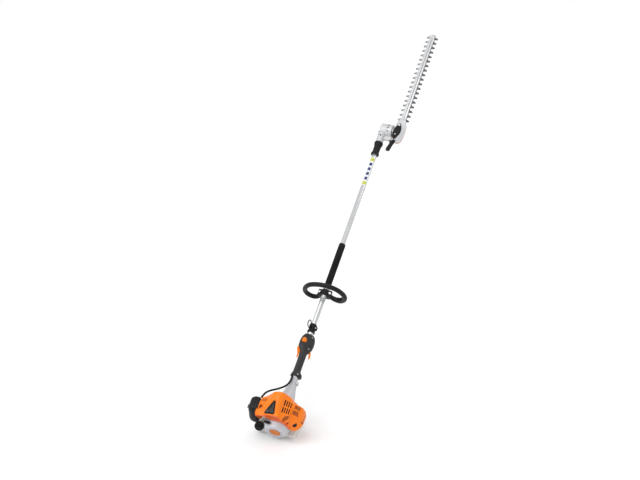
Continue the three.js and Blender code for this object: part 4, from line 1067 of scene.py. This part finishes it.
def makeLoop():
    # A round section carried along the bow, with a saddle, a web and three ribs.
    mirrored = [(x, -y, z, lean) for x, y, z, lean in loop["half"]][::-1]
    points = loop["half"] + [(-14, 0, 97, 7)] + mirrored
    path = smoothPath([(loop["x"] + x, y - lean, z) for x, y, z, lean in points], 220)
    share = np.linspace(0, 1, 220)
    size = loop["radius"] * (1 - 0.06 * easeBetween(0.12, 0.0, share))
    bow = sweep(path, size, 36)
    saddle = plate(softCorners([(-33, -0.4), (33, -0.4), (33, -9), (24, -25), (-24, -25), (-33, -9)], 4,
                               closed=True), 742, 774, 2, "yz")
    web = plate(softCorners([(-20, -2), (-40, -13), (-66, -16), (-88, -4), (-92, -18), (-70, -38), (-40, -40),
                             (-18, -27)], 5, closed=True), 748, 758, 1.8, "yz")
    ribs = [plate(softCorners([(y, -37), (y + 3, -37), (y + 3, -13), (y, -13)], 1, closed=True),
                  746, 760, 1, "yz") for y in (-36, -50, -64)]
    makePiece("loop_bow", joined(bow, saddle, web, *ribs), "front_handle", paint["blackPlastic"],
              ["loop_handle"], 30, {"paintedShadeAndDarkTeeth": np.zeros(sum(
                  len(part[0]) for part in (bow, saddle, web, *ribs)))})


def makeLoopClamp():
    # A half-round arch with flat wings, carried along the shaft, and its two screws.
    arc = np.linspace(0, np.pi, 24)
    arch = [(20 * np.cos(a), 0.4 + 20.5 * np.sin(a)) for a in arc if 0.45 < a < np.pi - 0.45]
    outline = softCorners([(33, 0.4), (33, 9)] + arch + [(-33, 9), (-33, 0.4)], 1.6, closed=True, steps=4)
    cap = plate(outline, loop["x"] - 15, loop["x"] + 15, 1.8, "yz")
    makePiece("loop_cap", cap, "front_handle", paint["blackPlastic"], ["loop_clamp_cap"], 30)
    for name, y in (("left", 25), ("right", -25)):
        head = screw((loop["x"], y, 9.2), (0, 0, 1), 5.4, 5)
        washer = lathe([(0, 0), (0, 7), (1.2, 7), (1.2, 0)], (loop["x"], y, 8.8), (0, 0, 1), 32, 0.3)
        makePiece("loop_screw_" + name, joined(head, washer), "front_handle", paint["brightSteel"],
                  ["loop_clamp_screw_" + name])


makeRing()
makeRingClamp()
makeLoop()
makeLoopClamp()
print("ring and loop handle made")


# The shaft.

foam = {"start": 784, "end": 1041, "radius": 16.2, "edge": 0.9, "round": 4}


def makeShaft():
    # The tube and the foam are turned profiles; the foam's radius eases down to its edge at either end.
    tube = lathe([(262, 11.2), (262, 12.4), (262.6, 12.7), (1689, 12.7), (1689.6, 12.4), (1690, 11.2)],
                 (0, 0, 0), (1, 0, 0), 72)
    makePiece("shaft_tube_skin", tube, "root", paint["tubeMetal"], ["shaft_tube"], 50)
    x = np.linspace(foam["start"], foam["end"], 130)
    radius = (foam["radius"] - foam["edge"] * easeBetween(foam["start"] + foam["round"], foam["start"], x)
              - foam["edge"] * easeBetween(foam["end"] - foam["round"], foam["end"], x))
    profile = [(foam["start"], 13.0)] + list(zip(x, radius)) + [(foam["end"], 13.0)]
    makePiece("foam_sleeve", lathe(profile, (0, 0, 0), (1, 0, 0), 72), "root", paint["foamBlack"],
              ["foam_grip"], 50)


labelPlace = {"start": 1395, "length": 170, "radius": 12.95}


def makeLabel():
    # A plain generic sticker: a pale band along the tube with three blank coloured fields.
    def band(start, end, radius, low, high):
        x = np.linspace(start, end, 24)
        angle = np.radians(np.linspace(low, high, 40))
        ring = np.stack([np.cos(angle), np.sin(angle)], 1)
        outer = np.stack([x[:, None] * np.ones(40), radius * ring[:, 0] * np.ones((24, 1)),
                          radius * ring[:, 1] * np.ones((24, 1))], -1)
        inner = outer.copy()[:, ::-1]
        inner[..., 1:] *= (radius - 0.2) / radius
        return closedGrid(np.concatenate([outer, inner], 1))

    start, end = labelPlace["start"], labelPlace["start"] + labelPlace["length"]
    makePiece("tube_label", band(start, end, labelPlace["radius"], 40, 150), "root", paint["label"],
              sharp=40)
    greens = [band(start + 4, start + 22, 13.05, 44, 146), band(end - 22, end - 4, 13.05, 44, 146)]
    makePiece("tube_label_green", joined(*greens), "root", paint["labelGreen"], sharp=40)
    blues = [band(start + 32 + 29 * i, start + 50 + 29 * i, 13.05, 62, 128) for i in range(4)]
    makePiece("tube_label_blue", joined(*blues), "root", paint["labelBlue"], sharp=40)


makeShaft()
makeLabel()
print("shaft made")


# The gearbox and the cutting head.

swivelX = 1745


def makeSleeve():
    # A turned profile with a collar at either end.
    profile = [(1589, 13.1), (1589, 19.5), (1591, 21), (1597, 21), (1601, 18), (1610, 17.4), (1638, 17.8),
               (1650, 20), (1657, 22.5), (1663.5, 22.5), (1666, 20.5), (1666, 13.1)]
    makePiece("gearbox_boot", lathe(profile, (0, 0, 0), (1, 0, 0), 72, 2.2), "root", paint["blackPlastic"],
              ["gearbox_sleeve"], 30)


def makeAngleGearbox():
    # A turned neck and drum with an arm for the latch and lugs spaced round the drum.
    neck = lathe([(1666.3, 13.1), (1666.3, 18.4), (1669, 19), (1712, 21.5), (1730, 24), (1734, 10)],
                 (0, 0, 0),
                 (1, 0, 0), 64, 1.5)
    drum = lathe([(11, 0), (11, 26), (9.5, 31.5), (5, 35), (-18, 36), (-20, 35), (-22, 36.2), (-44, 36.2),
                  (-49.6, 35), (-49.6, 22), (-46, 20.5), (-46, 0)], (swivelX, 0, 0), (0, 1, 0), 96, 1.6)
    arm = plate(softCorners([(1689, -9), (1712, -9), (1712, 9), (1689, 9)], 3, closed=True), -55.2, -14, 1.5,
                "xz")
    lugs = []
    for degrees in (38, 84, 130, 205, 300):
        angle = np.radians(degrees)
        centre = (swivelX + 31 * np.cos(angle), 0, 31 * np.sin(angle))
        lugs.append(lathe([(9, 0), (9, 4.6), (7.5, 5.4), (-18, 5.6), (-18, 0)], centre, (0, 1, 0), 28, 0.8))
    parts = joined(neck, drum, arm, *lugs)
    makePiece("angle_gearbox_case", parts, "root", paint["gearboxPaint"], ["angle_gearbox_housing"],
              30, {"paintedShadeAndDarkTeeth": np.zeros(len(parts[0]))})
    heads = []
    for degrees in (38, 84, 130, 205, 300):
        angle = np.radians(degrees)
        heads.append(screw((swivelX + 31 * np.cos(angle), 9, 31 * np.sin(angle)), (0, 1, 0), 3.2, 2.2))
    for x in (1727, 1742, 1757):
        heads.append(screw((x, -30, np.sqrt(36.2**2 - (x - swivelX) ** 2) - 0.6), (0, 0, 1), 3.8, 1.6))
    heads.append(screw((1702, 0, 21), (0, 0, 1), 4, 2.4))
    makePiece("angle_gearbox_screws", joined(*heads), "root", paint["darkMetalAndGrooveShade"])


head = {"middle": (1756, -82), "half": (68, 26), "power": 2.7}


def headRing(inset, level, sides=96):
    # A superellipse about the head's middle, drawn in by inset, at one level.
    u, v = superRing(head["half"][0] - inset, head["half"][1] - inset, head["power"], sides)
    return np.stack([head["middle"][0] + u, head["middle"][1] + v, np.full(sides, level)], 1)


def makeBladeGearbox():
    # Superellipse rings stacked into a case and a base, with a round flange and a nose.
    case = closedGrid(np.array([headRing(i, z) for i, z in (
        (2.0, -11.0), (0.6, -10.6), (0, -9.4), (0, 12), (0.4, 15), (1.6, 18.4), (4, 21.6), (7.6, 24),
        (12, 25.1),
        (18, 25.4))]))
    flange = lathe([(-56, 0), (-56, 22.5), (-57, 24), (-61, 24), (-63, 22), (-63, 0)], (swivelX, 0, 0),
                   (0, 1, 0), 64, 0.6)
    trim = flange[0]
    trim[:, 2] = np.maximum(trim[:, 2], -10.6)
    noseLine = softCorners([(1808, -98), (1838, -95), (1838, -65), (1808, -62)], 4, closed=True)
    nose = plate(noseLine, -2.1, 6, 2)
    parts = joined(case, (trim, flange[1]), nose)
    makePiece("blade_gearbox_case", parts, "head", paint["gearboxPaint"], ["blade_gearbox_housing"],
              30, {"paintedShadeAndDarkTeeth": np.zeros(len(parts[0]))})
    cover = closedGrid(np.array([headRing(i, z) for i, z in (
        (10, -19.2), (6, -18.8), (2.6, -17.4), (0.8, -15.6), (0, -13.8), (0, -12.2), (0.6, -11.4))]))
    makePiece("blade_gearbox_base", cover, "head", paint["deepOrange"], ["blade_gearbox_cover"],
              30)
    spots = [(1704, -66, 19), (1708, -99, 17), (1790, -101, 18.6), (1806, -69, 16.5)]
    heads = [screw(spot, (0, 0, 1), 3.6, 3) for spot in spots]
    makePiece("blade_gearbox_screws", joined(*heads), "head", paint["steel"])


def almondOutline(inset, count=48):
    # Two arcs between the ends of a slanted chord, bulging by half a sine wave on either side.
    t = np.linspace(0, 1, count)
    x = 1682 + inset + (104 - 2 * inset) * t
    middle = -72.5 - 9 * t
    bulge = (19 - inset) * np.sin(np.pi * t) ** 0.8
    upper = np.stack([x, middle + bulge], 1)
    lower = np.stack([x, middle - bulge], 1)[1:-1][::-1]
    return np.concatenate([upper, lower])


def makeSwivelCover():
    # The almond outline stacked in rings that draw in towards the top.
    rings = []
    for inset, level in ((0.6, 25.4), (0, 26.2), (0, 29.2), (0.8, 30.8), (2.6, 32.4), (5.4, 33.6), (9, 34.2),
                         (9.6, 33.7), (13, 33.9)):
        outline = almondOutline(inset)
        rings.append(np.column_stack([outline, np.full(len(outline), level)]))
    makePiece("swivel_shield", closedGrid(np.array(rings)), "head", paint["blackPlastic"], ["swivel_cover"],
              30, {"paintedShadeAndDarkTeeth": np.zeros(len(rings) * len(rings[0]))})
    pin = lathe([(0, 0), (0, 3.4), (1.6, 3.4), (2.2, 2.6), (2.2, 0)], (1712, -75, 33.4), (0, 0, 1), 28, 0.3)
    eye = lathe([(0, 0), (0, 5.2), (0.9, 5.2), (1.2, 4.4), (1.2, 0)], (1771, -80.4, 33.2), (0, 0, 1), 36, 0.3)
    makePiece("swivel_shield_studs", joined(pin, eye), "head", paint["brightSteel"])


def makeSwivelGrip():
    # Superellipse rings along the grip, with a cosine ridge every few millimetres.
    x = np.linspace(1692, 1625, 90)[::-1]
    y, wide, tall = tableAt([(1625, -56, 7, 6), (1627.5, -56.2, 10, 9), (1636, -57, 11, 10),
                             (1650, -60, 10.4, 9.6),
                             (1664, -63, 10.2, 9.2), (1682, -68, 11, 8), (1692, -71, 10, 7)], x)
    ridge = 0.5 * np.cos(x * 2 * np.pi / 6) * easeBetween(1632, 1638, x) * easeBetween(1676, 1670, x)
    rings = []
    for px, py, w, t, r in zip(x, y, wide, tall, ridge):
        u, v = superRing(w + r, t + r, 2.3, 40)
        rings.append(np.stack([np.full(40, px), py + u, 6 + v], 1))
    makePiece("swivel_handle", closedGrid(np.array(rings)), "head", paint["blackPlastic"], ["swivel_grip"],
              30, {"paintedShadeAndDarkTeeth": np.zeros(90 * 40)})


def makeLatch():
    # Two flat outlines carried sideways, the bolt and its thumb piece.
    boltLine = softCorners([(1686, -4), (1719.6, -4), (1719.6, 4), (1686, 4)], 0.8, closed=True)
    bolt = plate(boltLine, -55, -50.2, 0.5, "xz")
    thumb = plate(softCorners([(1679, -8), (1687, -8), (1687, 12), (1681, 15), (1678, 12)], 2, closed=True),
                  -55, -50.2, 1, "xz")
    makePiece("latch_slide", joined(bolt, thumb), "latch", paint["blackPlastic"], ["swivel_latch"],
              30)


blades = {
    "first": 1824, "pitch": 30.5, "count": 19, "tip": 30, "top": -5.9, "thick": 2.2, "y": -80,
    "screwFirst": 1850, "screwPitch": 87, "screws": 7,
}


def makeBlade(name, node, body, top):
    # A straight bar and its teeth, each tooth a four-sided plate whose sides are ground to a slope.
    low = top - blades["thick"]
    mid = blades["y"]
    end = blades["first"] + blades["pitch"] * blades["count"] - 2
    bar = plate([(1761, mid - 13), (end - 4, mid - 13), (end + 4, mid - 8), (end + 4, mid + 8),
                 (end - 4, mid + 13), (1761, mid + 13)], low, top, 0.3)
    root = lathe([(low, 0), (low, 18), (top, 18), (top, 0)], (swivelX, mid, 0), (0, 0, 1), 64, 0.3)
    levels = ((low, 0.15), (low + 0.15, 0), (low + 0.7, 0), (top - 0.25, 2.0), (top - 0.2, 2.2))
    teeth = []
    for side, offset in ((-1, 0), (1, 4)):
        for i in range(blades["count"]):
            x = blades["first"] + offset + blades["pitch"] * i
            corners = [(x - 0.4, 12), (x + 3, blades["tip"]), (x + 9, blades["tip"]), (x + 17.6, 12)]
            outline = softCorners([(a, mid + side * b) for a, b in corners], 1, closed=True, steps=3)
            teeth.append(closedGrid(np.array([
                np.column_stack([insetOutline(outline, inset), np.full(len(outline), z)])
                for z, inset in levels])))
    parts = joined(bar, root, *teeth)
    outwards = np.abs(parts[0][:, 1] - mid)
    # a deeper grey on the outer part of each tooth, and painted shadow over the bar's right margin and the
    # right-hand teeth
    darkTeethAndRightShadow = np.maximum(easeBetween(14, 19, outwards), (parts[0][:, 1] < mid - 11.5) * 0.85)
    makePiece(name, parts, body, paint["bladeSteel"], [node], 20, {"paintedShadeAndDarkTeeth": darkTeethAndRightShadow})


def makeGuideBar():
    # A long outline with a hooked tip, carried upwards, and along its middle a near-black strip of painted shade
    # for a groove.
    low, high = blades["top"] + 0.3, blades["top"] + 3.3
    tip = blades["first"] + blades["pitch"] * blades["count"]
    outline = softCorners([(1788, -91), (tip - 20, -91), (tip - 6, -89), (tip - 2, -83), (tip - 2, -74),
                           (tip - 6, -63), (tip - 12, -58), (tip - 17, -60), (tip - 15, -69), (1788, -69)],
                          2.4, closed=True, steps=6)
    bar = plate(outline, low, high, 0.9)
    x0, x1 = 1846, tip - 24
    groove = plate(softCorners([(x0, -81.1), (x1, -81.1), (x1, -78.9), (x0, -78.9)], 1, closed=True),
                   high - 0.4, high + 0.12, 0.05)
    makePiece("cutter_guide", bar, "head", paint["bladeSteel"], ["guide_bar"], 30,
              {"paintedShadeAndDarkTeeth": np.zeros(len(bar[0]))})
    # the groove strip is near black: painted shade
    makePiece("cutter_guide_groove", groove, "head", paint["darkMetalAndGrooveShade"])
    heads = []
    for i in range(blades["screws"]):
        at = blades["screwFirst"] + blades["screwPitch"] * i
        heads.append(screw((at, blades["y"], high), (0, 0, 1), 4.6, 2.2))
        heads.append(lathe([(0, 0), (0, 4.8), (3.2, 4.8), (3.2, 0)], (at, blades["y"], -13.8), (0, 0, 1), 6))
        heads.append(lathe([(0, 0), (0, 3), (4, 3), (4, 0)], (at, blades["y"], -12.5), (0, 0, 1), 12))
    makePiece("cutter_screws", joined(*heads), "head", paint["steel"])


makeSleeve()
makeAngleGearbox()
makeBladeGearbox()
makeSwivelCover()
makeSwivelGrip()
makeLatch()
makeBlade("cutter_upper", "upper_blade", "top_blade", blades["top"])
makeBlade("cutter_lower", "lower_blade", "bottom_blade", blades["top"] - blades["thick"] - 0.3)
makeGuideBar()
print("cutting head made")


# Floor, light and camera.

def makeStage():
    # One flat square of pale floor.
    material, nodes, links = newMaterial("floorWhite")
    shader = nodes["Principled BSDF"]
    noise = noiseNode(nodes, links, 3, 2)
    tone = mixColours(nodes, links, rangeNode(nodes, links, noise.outputs["Fac"], 0, 1), (0.93, 0.93, 0.93),
                      (0.95, 0.95, 0.95))
    links.new(tone, shader.inputs["Base Color"])
    shader.inputs["Roughness"].default_value = 0.9
    shader.inputs["Specular IOR Level"].default_value = 0.1
    size = 60  # metres from the middle to an edge
    mesh = bpy.data.meshes.new("floor")
    corners = [(-size, -size, 0), (size, -size, 0), (size, size, 0), (-size, size, 0)]
    mesh.from_pydata(corners, [], [(0, 1, 2, 3)])
    mesh.materials.append(material)
    floor = bpy.data.objects.new("floor", mesh)
    bpy.context.scene.collection.objects.link(floor)


def areaLight(name, place, target, size, power):
    # A round lamp at one place, turned to face another.
    light = bpy.data.lights.new(name, "AREA")
    light.shape = "DISK"
    light.size = size
    light.energy = power
    lamp = bpy.data.objects.new(name, light)
    bpy.context.scene.collection.objects.link(lamp)
    lamp.location = place
    lamp.rotation_euler = (Vector(target) - Vector(place)).to_track_quat("-Z", "Y").to_euler()


studio = {"world": 0.78, "sun": 0.95, "sunSpread": 50}  # strengths, and the sun's width in degrees


def makeLights():
    # An even pale world, a wide soft sun, and two lamps.
    world = bpy.data.worlds.new("studio")
    world.use_nodes = True
    world.node_tree.nodes["Background"].inputs["Color"].default_value = (1, 1, 1, 1)
    world.node_tree.nodes["Background"].inputs["Strength"].default_value = studio["world"]
    bpy.context.scene.world = world
    sun = bpy.data.lights.new("skyPanel", "SUN")
    sun.energy = studio["sun"]
    sun.angle = np.radians(studio["sunSpread"])
    panel = bpy.data.objects.new("skyPanel", sun)
    bpy.context.scene.collection.objects.link(panel)
    panel.rotation_euler = Vector((0.42, -0.2, -1)).to_track_quat("-Z", "Y").to_euler()
    areaLight("sideLight", (-1.2, 2.0, 2.2), (0.2, 0, 0.3), 0.9, 16)
    areaLight("rimLight", (3.0, -1.4, 2.6), (1.2, 0, 0.6), 1.2, 12)
    bpy.context.scene.view_settings.view_transform = "Standard"


camera = {
    "place": (-5.811, -2.248, 4.601), "forward": (0.8158, 0.2908, -0.5), "up": (0.471, 0.1679, 0.866),
    "lens": 94.5, "sensor": 36,
}


def makeCamera():
    # The camera looks along forward; right is forward crossed with up, and up is squared to both.
    data = bpy.data.cameras.new("camera")
    data.lens = camera["lens"]
    data.sensor_width = camera["sensor"]
    data.clip_end = 200
    eye = bpy.data.objects.new("camera", data)
    bpy.context.scene.collection.objects.link(eye)
    forward = Vector(camera["forward"]).normalized()
    right = forward.cross(Vector(camera["up"])).normalized()
    up = right.cross(forward)
    turn = Matrix((right, up, -forward)).transposed().to_4x4()
    eye.matrix_world = Matrix.Translation(camera["place"]) @ turn
    bpy.context.scene.camera = eye


makeStage()
makeLights()
makeCamera()
print("stage made")
